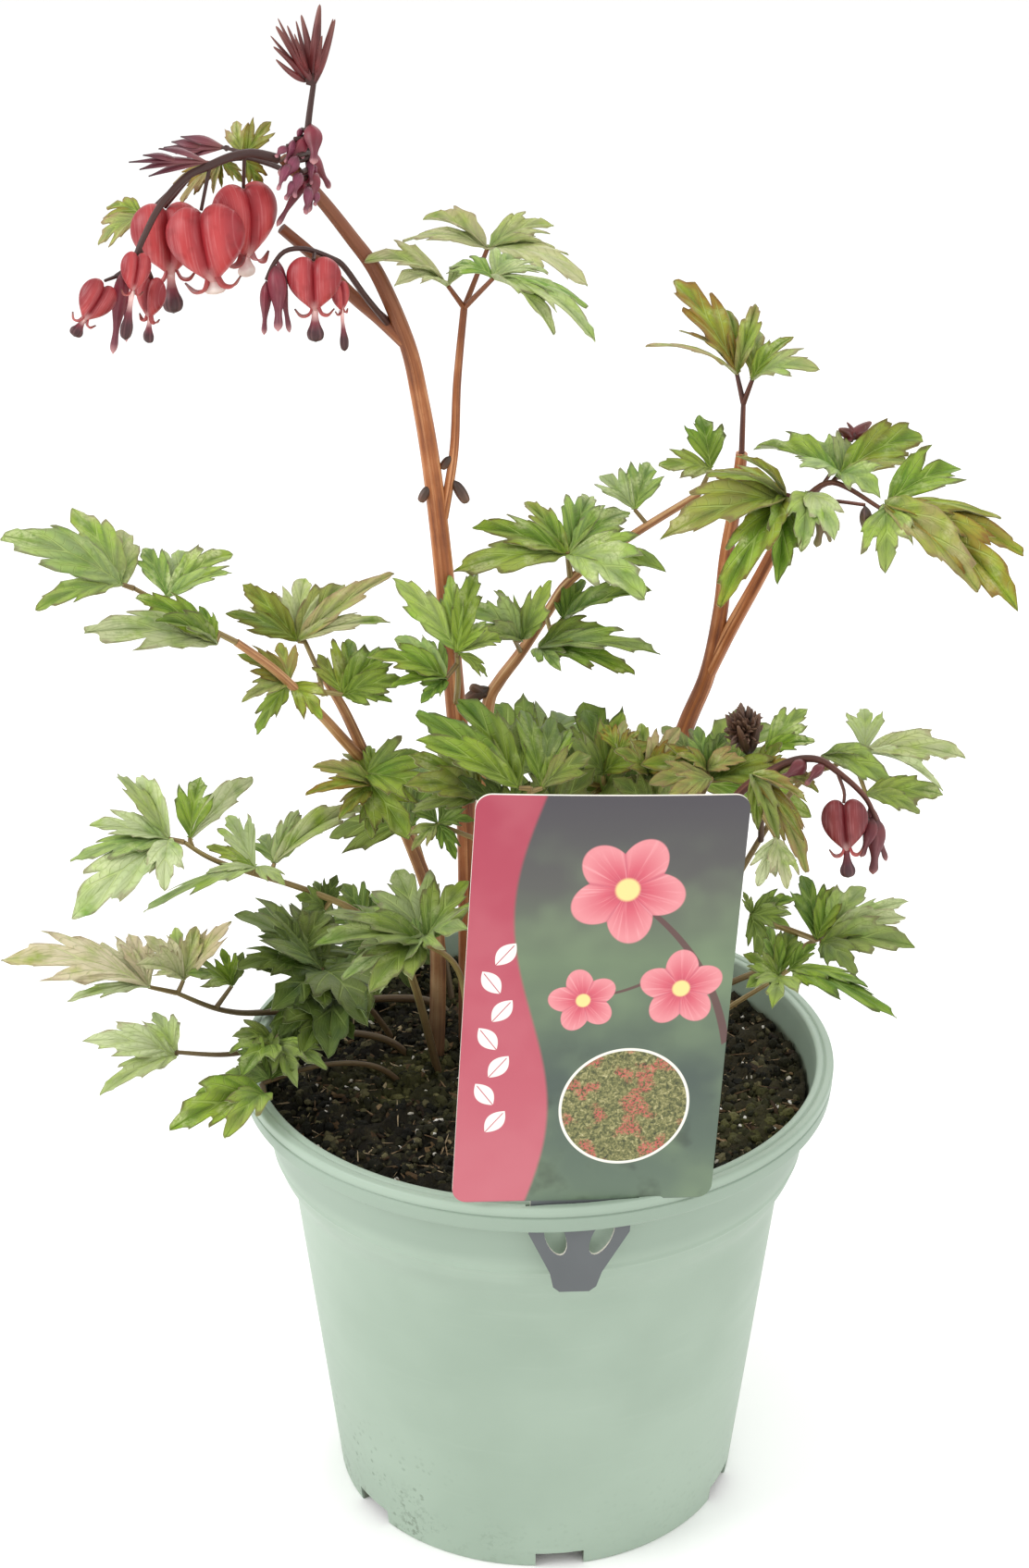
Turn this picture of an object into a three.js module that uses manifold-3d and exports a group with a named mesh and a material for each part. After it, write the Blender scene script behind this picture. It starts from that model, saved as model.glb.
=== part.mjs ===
// A bleeding heart (a garden perennial) in its nursery pot, in millimetres, +Z up.
// The origin is on the pot's axis, in the plane that the pot stands on.
import * as THREE from "three";
import { mergeVertices } from "three/addons/utils/BufferGeometryUtils.js";
import Module from "manifold-3d";

const wasm = await Module();
wasm.setup();

// Pot
const POT_HEIGHT = 138;
const LIP_RADIUS = 85;
const LIP_DEPTH = 8;
const LIP_WIDTH = 5.4;
const COLLAR_TOP_RADIUS = 80;
const COLLAR_FOOT_RADIUS = 76.4;
const COLLAR_FOOT_Z = 112;
const WALL_TOP_RADIUS = 71;
const WALL_TOP_Z = 101;
const FOOT_RADIUS = 59.4;
const WALL = 1.4;
const FLOOR = 1.5;
const FOOT_RECESS = 3;
const FOOT_DISC_RADIUS = 44;
const FOOT_RING = 2.4;
const NOTCHES = 6;
const NOTCH = { width: 14, depth: 12, height: 5, turn: 0.12 };
const POT_SIDES = 26;

// Soil
const SOIL_Z = 129;
const SOIL_RINGS = 4;
const SOIL_SIDES = 18;
const SOIL_CRUMB = 1.3;

// Label: a plate that stands on the front of the lip, and a foot through a slot in the lip
const LABEL = { width: 68.5, height: 113.5, corner: 4, thickness: 0.8, radius: 81.8, lift: 2.4 };
const LABEL_AZIMUTH = THREE.MathUtils.degToRad(8.4);
const LABEL_ROLL = THREE.MathUtils.degToRad(3.6);
const LABEL_FOOT = { top: 27, tip: 9, drop: 30, shoulder: 12 };
const LABEL_HOLES = { offset: 6, drop: 15, halfWidth: 1.6, halfHeight: 3.6 };
const LABEL_CLEARANCE = 0.35;

// Plant
const GAP = 0.35;
const SHOOT_SIDES = 6;
const STALK_SIDES = 4;
const STALKLET = { foot: 0.8, tip: 0.6, shortest: 0.75 };
const BLADE = 0.75;
const BLADE_ARCH = 0.09;
const BLADE_FOLD = 0.1;
const BLADE_TILT = THREE.MathUtils.degToRad(35);
const HUB_CORNER = 1.1;
const OPEN_TURN = THREE.MathUtils.degToRad(150);
const OPEN_CORNER_TURN = THREE.MathUtils.degToRad(60);

// Half of a leaflet's cut edge, from its widest lobe to its last tooth:
// [share of the length, share of the width].
const CUT_EDGE = [
  [0.62, 0.54],
  [0.88, 0.46],
  [0.64, 0.14],
  [0.85, 0.21],
];
const MIDRIB = [[0, 0], [0.5, 0], [1, 0]];
const LOBE_SLOPE = CUT_EDGE[0][1] / CUT_EDGE[0][0];
const SECTOR_FILL = 0.92;

// Leaflets of a fan: [turn from the middle one in degrees, share of its length].
const ONE = [[0, 1]];
const PAIR = [[-24, 1], [30, 0.9]];
const TRIO = [[-58, 0.8], [0, 1], [58, 0.8]];

const BUD_PROFILE = [[0, 0], [0.26, 0.1], [0.2, 0.32], [0.5, 0.68], [0, 1]];
const FINGER_PROFILE = [[0, 0], [0.18, 0.06], [0.5, 0.7], [0, 1]];
const DROP_PROFILE = [[0, 0], [0.42, 0.08], [0.5, 0.28], [0.2, 0.68], [0.26, 1], [0, 1]];
const BUD_SIDES = 4;
const DROP_SIDES = 5;
const SLIM_BUD = 3.2;
const SMALL_BLOOM = 10;
const BLOOM_GAP = 0.45;

const FINISHES = {
  pot: { color: 0xaec1ae, roughness: 0.45, metalness: 0 },
  soil: { color: 0x34302a, roughness: 1, metalness: 0 },
  label: { color: 0xc9808c, roughness: 0.35, metalness: 0 },
  shoot: { color: 0xa8643a, roughness: 0.6, metalness: 0 },
  leaf: { color: 0x5f8f43, roughness: 0.6, metalness: 0 },
  bud: { color: 0x6b2a3c, roughness: 0.55, metalness: 0 },
  dry: { color: 0x4a352b, roughness: 0.9, metalness: 0 },
  bloom: { color: 0xb52f3e, roughness: 0.45, metalness: 0 },
};

const plant = new THREE.Group();

// ---- solids ----

// A closed three.js geometry as a solid that can be joined and cut.
function solid(geometry) {
  const bare = new THREE.BufferGeometry();
  bare.setAttribute("position", geometry.getAttribute("position"));
  bare.setIndex(geometry.index);
  const merged = mergeVertices(bare, 1e-4);
  const mesh = new wasm.Mesh({
    numProp: 3,
    vertProperties: merged.attributes.position.array,
    triVerts: new Uint32Array(merged.index.array),
  });
  return new wasm.Manifold(mesh);
}

function join(solids) {
  return solids.reduce((whole, piece) => whole.add(piece));
}

function cut(whole, cutters) {
  return cutters.reduce((rest, cutter) => rest.subtract(cutter), whole);
}

// A cut piece without the scraps that came loose.
function largest(whole) {
  return whole.decompose().reduce((a, b) => (a.volume() > b.volume() ? a : b));
}

function addPiece(name, whole, finish) {
  const made = whole.getMesh();
  const geometry = new THREE.BufferGeometry();
  geometry.setAttribute("position", new THREE.BufferAttribute(made.vertProperties, 3));
  geometry.setIndex(new THREE.BufferAttribute(made.triVerts, 1));
  geometry.computeVertexNormals();
  const mesh = new THREE.Mesh(geometry, new THREE.MeshStandardMaterial(FINISHES[finish]));
  mesh.name = name;
  plant.add(mesh);
}

// ---- stems ----

const vector = (p) => new THREE.Vector3(...p);
const OBLIQUE = new THREE.Vector3(0.3, 0.5, 0.81);

function stem(points, footRadius, tipRadius) {
  return { points: points.map(vector), footRadius, tipRadius };
}

// The sections of a stem: one at each of its points, turned as little as possible from one to the next.
function stemSections(points) {
  const side = new THREE.Vector3();
  return points.map((point, i) => {
    const before = points[Math.max(i - 1, 0)];
    const after = points[Math.min(i + 1, points.length - 1)];
    const tangent = after.clone().sub(before).normalize();
    if (i === 0) side.crossVectors(tangent, OBLIQUE);
    side.addScaledVector(tangent, -side.dot(tangent)).normalize();
    return { point, tangent, side: side.clone(), other: new THREE.Vector3().crossVectors(side, tangent) };
  });
}

// A tapered stem. The extra makes it a cutter, larger all round, that gives the stem its clearance.
function stemSolid({ points, footRadius, tipRadius }, sides, extra = 0) {
  const sections = stemSections(points);
  const last = points.length - 1;
  const tube = new THREE.CylinderGeometry(1, 1, 1, sides, last);
  const place = tube.getAttribute("position");
  for (let i = 0; i < place.count; i++) {
    const share = place.getY(i) + 0.5;
    const index = Math.round(share * last);
    const radius = THREE.MathUtils.lerp(footRadius, tipRadius, share) + extra;
    const { point, tangent, side, other } = sections[index];
    const corner = point.clone().addScaledVector(side, place.getX(i) * radius);
    corner.addScaledVector(other, place.getZ(i) * radius);
    if (index === last) corner.addScaledVector(tangent, extra);
    place.setXYZ(i, corner.x, corner.y, corner.z);
  }
  return solid(tube);
}

// The cutters that keep later pieces, and the soil, clear of the stems planted so far.
const stemCutters = [];

function keepClearOf(stems, sides) {
  stems.forEach((s) => stemCutters.push(stemSolid(s, sides, GAP)));
}

// A short stalk from the nearest stem to each place that no stem reaches.
function stalklets(stems, places) {
  const nearest = (place) =>
    stems
      .flatMap(({ points }) => points.slice(1).map((end, i) => new THREE.Line3(points[i], end)))
      .map((line) => line.closestPointToPoint(place, true, new THREE.Vector3()))
      .reduce((a, b) => (a.distanceTo(place) < b.distanceTo(place) ? a : b));
  return places
    .map((place) => [nearest(place), place])
    .filter(([from, to]) => from.distanceTo(to) > STALKLET.shortest)
    .map((points) => ({ points, footRadius: STALKLET.foot, tipRadius: STALKLET.tip }));
}

// ---- leaflets ----

function fan(hub, tip, pattern, width) {
  return { hub: vector(hub), tip: vector(tip), pattern, width };
}

// The leaflets of a fan, each with its direction, length and width.
function leaflets({ hub, tip, pattern, width }) {
  const axis = tip.clone().sub(hub);
  const length = axis.length();
  axis.normalize();
  const up = new THREE.Vector3(0, -Math.sin(BLADE_TILT), Math.cos(BLADE_TILT));
  const face = up.addScaledVector(axis, -up.dot(axis)).normalize();
  return pattern.map(([turn, reach]) => ({
    face,
    along: axis.clone().applyAxisAngle(face, THREE.MathUtils.degToRad(turn)),
    length: length * reach,
    width: length * reach * width,
  }));
}

// All leaflets at one hub, in order round it, each kept within its own sector.
function rosette(hub, blades) {
  const face = new THREE.Vector3();
  blades.forEach((blade) => face.add(blade.face));
  face.normalize();
  for (const blade of blades) {
    blade.lean = Math.asin(blade.along.dot(face));
    blade.out = blade.along.clone().addScaledVector(face, -blade.along.dot(face)).normalize();
    blade.across = new THREE.Vector3().crossVectors(face, blade.out);
    const [x, y] = [blade.out.dot(blades[0].out), blade.out.dot(blades[0].across)];
    blade.azimuth = Math.atan2(y, x);
  }
  blades.sort((a, b) => a.azimuth - b.azimuth);
  blades.forEach((blade, i) => {
    const next = blades[(i + 1) % blades.length];
    const turn = next.azimuth - blade.azimuth;
    setCorners(hub, blade, next, turn > 0 ? turn : turn + 2 * Math.PI);
  });
  for (const blade of blades) {
    const room = (SECTOR_FILL * Math.min(blade.turnAfter, blade.turnBefore, Math.PI * 0.7)) / 2;
    const widest = (blade.length * Math.cos(blade.lean) * Math.tan(room)) / LOBE_SLOPE;
    blade.width = Math.min(blade.width, widest);
  }
  return { hub, face, blades };
}

// The corner between two neighbouring leaflets, or one for each where the rosette is open.
function setCorners(hub, blade, next, turn) {
  const open = turn > OPEN_TURN;
  const cornerTurn = open ? OPEN_CORNER_TURN : turn / 2;
  const corner = (from, side) =>
    hub
      .clone()
      .addScaledVector(from.out, HUB_CORNER * Math.cos(cornerTurn))
      .addScaledVector(from.across, side * HUB_CORNER * Math.sin(cornerTurn));
  blade.turnAfter = turn;
  blade.after = { point: corner(blade, 1), turn: cornerTurn, open };
  next.turnBefore = turn;
  next.before = { point: open ? corner(next, -1) : blade.after.point, turn: cornerTurn, open };
}

// Half a leaflet as triangles: along the rib to the tip, back on the cut edge to its corner at the hub.
function halfLeaflet({ hub, face }, { length, width, lean, out, across }, corner, mirror) {
  const edge = [...MIDRIB, ...CUT_EDGE.slice().reverse()];
  const flat = edge.map(([u, v]) => new THREE.Vector2(u * length * Math.cos(lean), v * width));
  const points = flat.map(({ x, y }, i) => {
    const [u, v] = edge[i];
    const rise = BLADE_ARCH * Math.sin(Math.PI * u) + BLADE_FOLD * v + u * Math.sin(lean);
    const point = hub.clone().addScaledVector(out, x).addScaledVector(across, mirror * y);
    return point.addScaledVector(face, length * rise);
  });
  flat.push(new THREE.Vector2(Math.cos(corner.turn), Math.sin(corner.turn)).multiplyScalar(HUB_CORNER));
  points.push(corner.point);
  const lifted = (i, side) =>
    points[i % points.length].clone().addScaledVector(face, (side * BLADE) / 2).toArray();
  const positions = [];
  const triangle = (a, b, c) => positions.push(...(mirror > 0 ? [a, b, c] : [a, c, b]).flat());
  for (const [a, b, c] of THREE.ShapeUtils.triangulateShape(flat, [])) {
    triangle(lifted(a, 1), lifted(b, 1), lifted(c, 1));
    triangle(lifted(a, -1), lifted(c, -1), lifted(b, -1));
  }
  const last = corner.open ? points.length : points.length - 1;
  for (let i = MIDRIB.length - 1; i < last; i++) {
    triangle(lifted(i, -1), lifted(i + 1, -1), lifted(i + 1, 1));
    triangle(lifted(i, -1), lifted(i + 1, 1), lifted(i, 1));
  }
  return positions;
}

function rosetteSolid(whole) {
  const positions = whole.blades.flatMap((blade) => [
    ...halfLeaflet(whole, blade, blade.after, 1),
    ...halfLeaflet(whole, blade, blade.before, -1),
  ]);
  const geometry = new THREE.BufferGeometry();
  geometry.setAttribute("position", new THREE.Float32BufferAttribute(positions, 3));
  return solid(geometry);
}

// ---- buds and flowers ----

function bud(top, bottom, width) {
  return { top: vector(top), bottom: vector(bottom), width };
}

// A round solid of revolution between two points. Its profile is [share of the width, share of the length].
function spindle({ top, bottom, width }, profile, sides) {
  const axis = top.clone().sub(bottom);
  const length = axis.length();
  const points = profile.map(([r, h]) => new THREE.Vector2(r * width, h * length));
  const shape = new THREE.LatheGeometry(points, sides);
  const upright = new THREE.Vector3(0, 1, 0);
  shape.applyQuaternion(new THREE.Quaternion().setFromUnitVectors(upright, axis.normalize()));
  shape.translate(bottom.x, bottom.y, bottom.z);
  return solid(shape);
}

// The outer petals: two lobes with a notch between them, drawn in towards the foot.
function heartShape(width, height) {
  const ball = new THREE.SphereGeometry(1, width > SMALL_BLOOM ? 12 : 8, 5);
  const place = ball.getAttribute("position");
  for (let i = 0; i < place.count; i++) {
    const x = place.getX(i);
    const y = place.getY(i);
    const drawnIn = 1 - 0.45 * Math.max(0, -y) ** 1.2;
    const notch = 0.3 * Math.exp(-((x / 0.3) ** 2)) * Math.max(0, y);
    const rise = y + 0.5 * Math.abs(x) - notch;
    place.setXYZ(i, (x * drawnIn * width) / 2, (rise * height) / 2.12, place.getZ(i) * width * 0.24);
  }
  return ball.translate(0, (-0.7 * height) / 2.12, 0);
}

function bloom(name, top, end, width, turn) {
  const hang = vector(top);
  const axis = hang.clone().sub(vector(end));
  const length = axis.length();
  axis.normalize();
  const height = Math.min(0.62 * length, 0.9 * width + 2);
  const heart = heartShape(width, height);
  const stand = new THREE.Quaternion().setFromUnitVectors(new THREE.Vector3(0, 1, 0), axis);
  const spin = new THREE.Quaternion().setFromAxisAngle(axis, THREE.MathUtils.degToRad(turn));
  heart.applyQuaternion(spin.multiply(stand));
  hang.addScaledVector(axis, -BLOOM_GAP);
  heart.translate(hang.x, hang.y, hang.z);
  const waist = hang.clone().addScaledVector(axis, -0.75 * height);
  const drop = { top: waist, bottom: vector(end), width: 1.4 + width * 0.16 };
  addPiece(name, solid(heart).add(spindle(drop, DROP_PROFILE, DROP_SIDES)), "bloom");
}

// ---- pieces of the plant ----

function plantShoot(name, stems) {
  addPiece(name, join(stems.map((s) => stemSolid(s, SHOOT_SIDES))), "shoot");
  keepClearOf(stems, SHOOT_SIDES);
}

function plantLeaf(name, stems, fans) {
  const hubs = [...new Map(fans.map((f) => [f.hub.toArray().join(), f.hub])).values()];
  const rosettes = hubs.map((hub) => rosette(hub, fans.filter((f) => f.hub.equals(hub)).flatMap(leaflets)));
  const stalks = [...stems, ...stalklets(stems, hubs)].map((s) => stemSolid(s, STALK_SIDES));
  addPiece(name, largest(cut(join([...stalks, ...rosettes.map(rosetteSolid)]), stemCutters)), "leaf");
  keepClearOf(stems, STALK_SIDES);
}

function plantRaceme(name, stems, buds, finish = "bud") {
  const tops = buds.map((b) => b.top);
  const stalks = [...stems, ...stalklets(stems, tops)].map((s) => stemSolid(s, STALK_SIDES));
  const heads = buds.map((b) => spindle(b, b.width > SLIM_BUD ? BUD_PROFILE : FINGER_PROFILE, BUD_SIDES));
  addPiece(name, largest(cut(join([...stalks, ...heads]), stemCutters)), finish);
  keepClearOf(stems, STALK_SIDES);
}

// ---- shoots: stem(route, radius at its foot, radius at its tip) ----

plantShoot("shoot_tall", [
  stem([[-20, 18, 118], [-20, 18, 197], [-23, 18, 236], [-26, 20, 275], [-29, 20, 305], [-32, 20, 325],
    [-35, 18, 340], [-42, 14, 359], [-49, 12, 370], [-57, 10, 381], [-65, 6, 391]], 3.2, 1.5),
  stem([[-35, 18, 340], [-42, 17, 347], [-49, 14, 354], [-57, 10, 364], [-66, 7, 373]], 2, 1.4),
]);
plantShoot("shoot_middle", [
  stem([[-12, 27, 118], [-16, 32, 173], [-14, 38, 232], [-5, 40, 244], [3, 40, 257], [9, 40, 266],
    [25, 44, 277], [45, 50, 288]], 2.6, 1.2),
]);
plantShoot("shoot_right", [
  stem([[16, 24, 118], [27, 32, 167], [35, 34, 196], [42, 36, 222], [48, 36, 239], [51, 34, 259],
    [52, 32, 276], [54, 30, 293], [55, 28, 307]], 3.1, 1.6),
  stem([[48, 36, 239], [54, 33, 254], [61, 28, 271], [66, 22, 285], [70, 18, 294]], 2.2, 1.4),
]);
plantShoot("shoot_left", [
  stem([[-30, 13, 118], [-29, 14, 167], [-36, 14, 196], [-46, 8, 221], [-53, 5, 240],
    [-58, 4, 250]], 2.8, 1.3),
  stem([[-46, 8, 221], [-53, 1, 233], [-59, -4, 243], [-70, -8, 257], [-80, -12, 267]], 1.9, 1.2),
]);

// ---- leaves: stalks, then fan(hub, tip of the middle leaflet, leaflets, width share) ----

plantLeaf("leaf_tall", [
  stem([[-26, 20, 291], [-23, 22, 309], [-22, 24, 328], [-20, 24, 348]], 1.9, 1.3),
], [
  fan([-13, 36, 361], [-33, 44, 370], ONE, 0.6),
  fan([-13, 36, 361], [5, 50, 365], ONE, 0.55),
  fan([-13, 36, 361], [12, 20, 360], ONE, 0.5),
  fan([-25, 16, 357], [-44, 10, 366], PAIR, 0.5),
  fan([-8, 12, 358], [14, -8, 355], TRIO, 0.5),
]);
plantLeaf("leaf_bronze", [
  stem([[55, 28, 307], [55, 28, 318], [55, 28, 328]], 1.1, 0.8),
], [
  fan([55, 28, 328], [35, 44, 347], PAIR, 0.5),
  fan([55, 28, 328], [31, 16, 341], ONE, 0.45),
  fan([55, 28, 328], [60, 44, 344], ONE, 0.5),
  fan([55, 28, 328], [71, 14, 338], ONE, 0.6),
]);
plantLeaf("leaf_right_inner", [
  stem([[45, 50, 288], [48, 48, 296]], 1.1, 0.7),
], [
  fan([48, 48, 296], [45, 58, 309], ONE, 0.6),
  fan([48, 48, 296], [34, 42, 299], ONE, 0.6),
]);
plantLeaf("leaf_middle_far", [
  stem([[31, 45, 280], [27, 48, 284]], 0.9, 0.7),
], [
  fan([27, 48, 284], [25, 62, 294], PAIR, 0.5),
]);
plantLeaf("leaf_right", [
  stem([[70, 18, 294], [71, 17, 297], [65, 14, 300]], 1.3, 1),
  stem([[71, 17, 297], [79, 18, 302], [91, 8, 298]], 1.3, 0.8),
], [
  fan([65, 14, 300], [35, -10, 298], ONE, 0.5),
  fan([65, 14, 300], [43, -26, 290], ONE, 0.5),
  fan([65, 14, 300], [46, 20, 305], ONE, 0.55),
  fan([65, 14, 300], [73, -6, 292], ONE, 0.5),
  fan([91, 8, 298], [113, 20, 306], ONE, 0.6),
  fan([91, 8, 298], [124, -22, 291], PAIR, 0.42),
  fan([91, 8, 298], [92, -14, 290], ONE, 0.5),
  fan([76, 22, 302], [106, 34, 312], ONE, 0.5),
  fan([76, 22, 302], [60, 38, 307], ONE, 0.6),
  fan([76, 22, 302], [81, 44, 306], ONE, 0.6),
  fan([65, 14, 300], [51, -18, 284], ONE, 0.5),
  fan([91, 8, 298], [110, -26, 289], ONE, 0.3),
]);
plantLeaf("leaf_middle_top", [
  stem([[9, 40, 266], [8, 38, 275]], 1.3, 1),
], [
  fan([8, 38, 275], [-3, 52, 286], ONE, 0.5),
  fan([8, 38, 275], [16, 62, 285], ONE, 0.5),
  fan([8, 38, 275], [24, 47, 283], ONE, 0.45),
  fan([8, 38, 275], [-20, 22, 280], ONE, 0.6),
  fan([8, 38, 275], [32, 14, 277], ONE, 0.6),
  fan([8, 38, 275], [-17, 36, 283], ONE, 0.5),
]);
plantLeaf("leaf_middle_right", [
  stem([[2, 40, 256], [4, 31, 251]], 1, 0.8),
], [
  fan([4, 31, 251], [31, 28, 264], ONE, 0.5),
  fan([4, 31, 251], [30, 10, 255], ONE, 0.5),
  fan([4, 31, 251], [15, 38, 263], ONE, 0.5),
  fan([4, 31, 251], [2, 18, 247], ONE, 0.8),
]);
plantLeaf("leaf_middle_left", [
  stem([[-5, 40, 244], [-7, 28, 253]], 1, 0.8),
], [
  fan([-7, 28, 253], [-18, 20, 265], ONE, 0.6),
  fan([-7, 28, 253], [4, 22, 271], ONE, 0.5),
]);
plantLeaf("leaf_tall_low", [
  stem([[-23, 18, 236], [-22, 8, 248], [-22, 4, 257]], 1.3, 0.9),
], [
  fan([-22, 4, 257], [-38, 12, 277], ONE, 0.5),
  fan([-22, 4, 257], [-23, 14, 279], ONE, 0.55),
  fan([-22, 4, 257], [-40, -10, 265], ONE, 0.7),
  fan([-22, 4, 257], [-9, 12, 258], ONE, 0.5),
  fan([-22, 4, 257], [-32, -14, 255], ONE, 0.6),
]);
plantLeaf("leaf_left_far", [
  stem([[-80, -12, 267], [-93, -16, 276], [-105, -20, 285]], 1.2, 0.8),
], [
  fan([-105, -20, 285], [-134, -28, 301], ONE, 0.45),
  fan([-105, -20, 285], [-120, -4, 302], ONE, 0.5),
  fan([-105, -20, 285], [-104, 0, 296], ONE, 0.45),
  fan([-105, -20, 285], [-126, -38, 287], ONE, 0.4),
  fan([-96, -16, 279], [-82, 0, 287], ONE, 0.6),
  fan([-85, -16, 268], [-110, -40, 278], ONE, 0.4),
  fan([-85, -16, 268], [-103, -24, 284], ONE, 0.55),
  fan([-96, -16, 279], [-93, -2, 291], ONE, 0.5),
]);
plantLeaf("leaf_left_cluster", [
  stem([[-58, 4, 250], [-60, 4, 253], [-64, 12, 258]], 1.2, 0.9),
  stem([[-60, 4, 253], [-58, -5, 249]], 1, 0.8),
], [
  fan([-64, 12, 258], [-82, 14, 273], ONE, 0.65),
  fan([-64, 12, 258], [-66, 32, 270], ONE, 0.5),
  fan([-64, 12, 258], [-41, 24, 273], ONE, 0.45),
  fan([-58, -5, 249], [-78, -14, 259], ONE, 0.5),
  fan([-58, -5, 249], [-72, -28, 246], ONE, 0.55),
  fan([-58, -5, 249], [-39, -9, 250], ONE, 0.65),
  fan([-60, 6, 253], [-74, 20, 272], ONE, 0.5),
  fan([-54, 2, 242], [-44, -2, 262], ONE, 0.55),
  fan([-54, 2, 242], [-36, -6, 252], ONE, 0.5),
]);
plantLeaf("leaf_left_knee", [
  stem([[-46, 8, 221], [-48, -1, 224]], 1.1, 0.9),
], [
  fan([-48, -1, 224], [-60, -18, 227], TRIO, 0.55),
  fan([-48, -1, 224], [-32, -2, 231], ONE, 0.65),
  fan([-48, -1, 224], [-26, -14, 224], ONE, 0.6),
  fan([-48, -1, 224], [-35, -16, 212], ONE, 0.5),
]);
plantLeaf("leaf_low_left_a", [
  stem([[-27, 5, 118], [-37, -2, 166], [-49, -8, 184], [-64, -12, 194], [-86, -20, 206],
    [-95, -24, 214]], 1.7, 0.8),
], [
  fan([-95, -24, 214], [-121, -38, 217], TRIO, 0.55),
  fan([-95, -24, 214], [-91, -12, 228], ONE, 0.55),
  fan([-77, -17, 202], [-86, -4, 212], ONE, 0.5),
  fan([-77, -17, 202], [-103, -39, 203], ONE, 0.35),
  fan([-77, -17, 202], [-52, 0, 215], ONE, 0.5),
  fan([-77, -17, 202], [-69, 2, 213], ONE, 0.5),
]);
plantLeaf("leaf_low_left_b", [
  stem([[-24, 34, 118], [-29, 38, 132], [-46, 32, 141], [-78, 18, 144], [-91, 8, 149],
    [-103, 0, 156]], 1.9, 0.9),
], [
  fan([-103, 0, 156], [-147, -14, 177], ONE, 0.55),
  fan([-103, 0, 156], [-90, 12, 171], ONE, 0.5),
  fan([-103, 0, 156], [-120, -17, 164], ONE, 0.35),
  fan([-103, 0, 156], [-129, 10, 168], ONE, 0.5),
]);
plantLeaf("leaf_low_left_c", [
  stem([[-34, 16, 118], [-42, 12, 132], [-58, 4, 140], [-77, -10, 143], [-88, -16, 144],
    [-101, -20, 147]], 1.7, 0.8),
], [
  fan([-101, -20, 147], [-124, -26, 160], ONE, 0.5),
  fan([-101, -20, 147], [-104, -6, 156], ONE, 0.5),
  fan([-101, -20, 147], [-114, -42, 147], ONE, 0.4),
]);
plantLeaf("leaf_rim_left", [
  stem([[-34, 2, 118], [-45, -6, 134], [-60, -18, 142], [-76, -32, 144]], 1.4, 0.8),
], [
  fan([-76, -32, 144], [-98, -50, 144], PAIR, 0.5),
  fan([-76, -32, 144], [-79, -14, 152], ONE, 0.6),
]);
plantLeaf("leaf_low_dark", [
  stem([[-38, 24, 118], [-49, 20, 139], [-62, 12, 156]], 1.4, 0.8),
], [
  fan([-62, 12, 156], [-83, -6, 171], PAIR, 0.6),
  fan([-62, 12, 156], [-69, 30, 173], ONE, 0.65),
  fan([-62, 12, 156], [-47, -16, 158], ONE, 0.6),
  fan([-58, 14, 150], [-75, -14, 147], ONE, 0.65),
  fan([-58, 14, 150], [-59, -26, 151], ONE, 0.6),
]);
plantLeaf("leaf_low_centre", [
  stem([[-19, -4, 118], [-21, -14, 167], [-31, -24, 184]], 1.4, 1),
], [
  fan([-31, -24, 184], [-56, -34, 199], ONE, 0.5),
  fan([-31, -24, 184], [-45, -50, 186], ONE, 0.5),
  fan([-31, -24, 184], [-39, -6, 198], ONE, 0.6),
  fan([-31, -24, 184], [-19, -16, 199], ONE, 0.6),
  fan([-31, -24, 184], [-20, -42, 197], ONE, 0.5),
]);
plantLeaf("leaf_row_left", [
  stem([[-9, -6, 118], [-5, -20, 193], [-2, -32, 234]], 1.4, 1),
], [
  fan([-2, -32, 234], [-30, -24, 251], PAIR, 0.5),
  fan([-2, -32, 234], [-4, -8, 248], ONE, 0.6),
  fan([-2, -32, 234], [14, -20, 241], ONE, 0.6),
]);
plantLeaf("leaf_row_middle", [
  stem([[0, 33, 118], [11, 30, 168], [19, 20, 211]], 1.4, 1),
], [
  fan([19, 20, 211], [14, 38, 230], TRIO, 0.6),
  fan([17, 22, 203], [4, 26, 228], ONE, 0.55),
]);
plantLeaf("leaf_row_right", [
  stem([[8, 14, 118], [31, 8, 179], [47, -2, 223]], 1.5, 1),
], [
  fan([47, -2, 223], [34, 12, 234], ONE, 0.6),
  fan([47, -2, 223], [56, 15, 230], PAIR, 0.5),
  fan([47, -2, 223], [69, -14, 229], ONE, 0.4),
  fan([47, -2, 223], [30, -10, 232], ONE, 0.5),
]);
plantLeaf("leaf_right_small", [
  stem([[41, 35, 219], [57, 20, 217], [63, 12, 225]], 1, 0.8),
], [
  fan([63, 12, 225], [77, 24, 233], ONE, 0.6),
  fan([63, 12, 225], [76, 8, 230], ONE, 0.5),
]);
plantLeaf("leaf_right_far", [
  stem([[30, 24, 118], [56, 24, 177], [73, 22, 210], [84, 20, 218], [92, 20, 222]], 1.4, 0.7),
], [
  fan([92, 20, 222], [94, 34, 230], ONE, 0.6),
  fan([92, 20, 222], [117, 6, 227], PAIR, 0.42),
  fan([84, 20, 218], [91, -12, 217], ONE, 0.5),
  fan([92, 20, 222], [110, -4, 218], ONE, 0.4),
  fan([84, 20, 218], [97, 0, 223], ONE, 0.4),
]);
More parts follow.
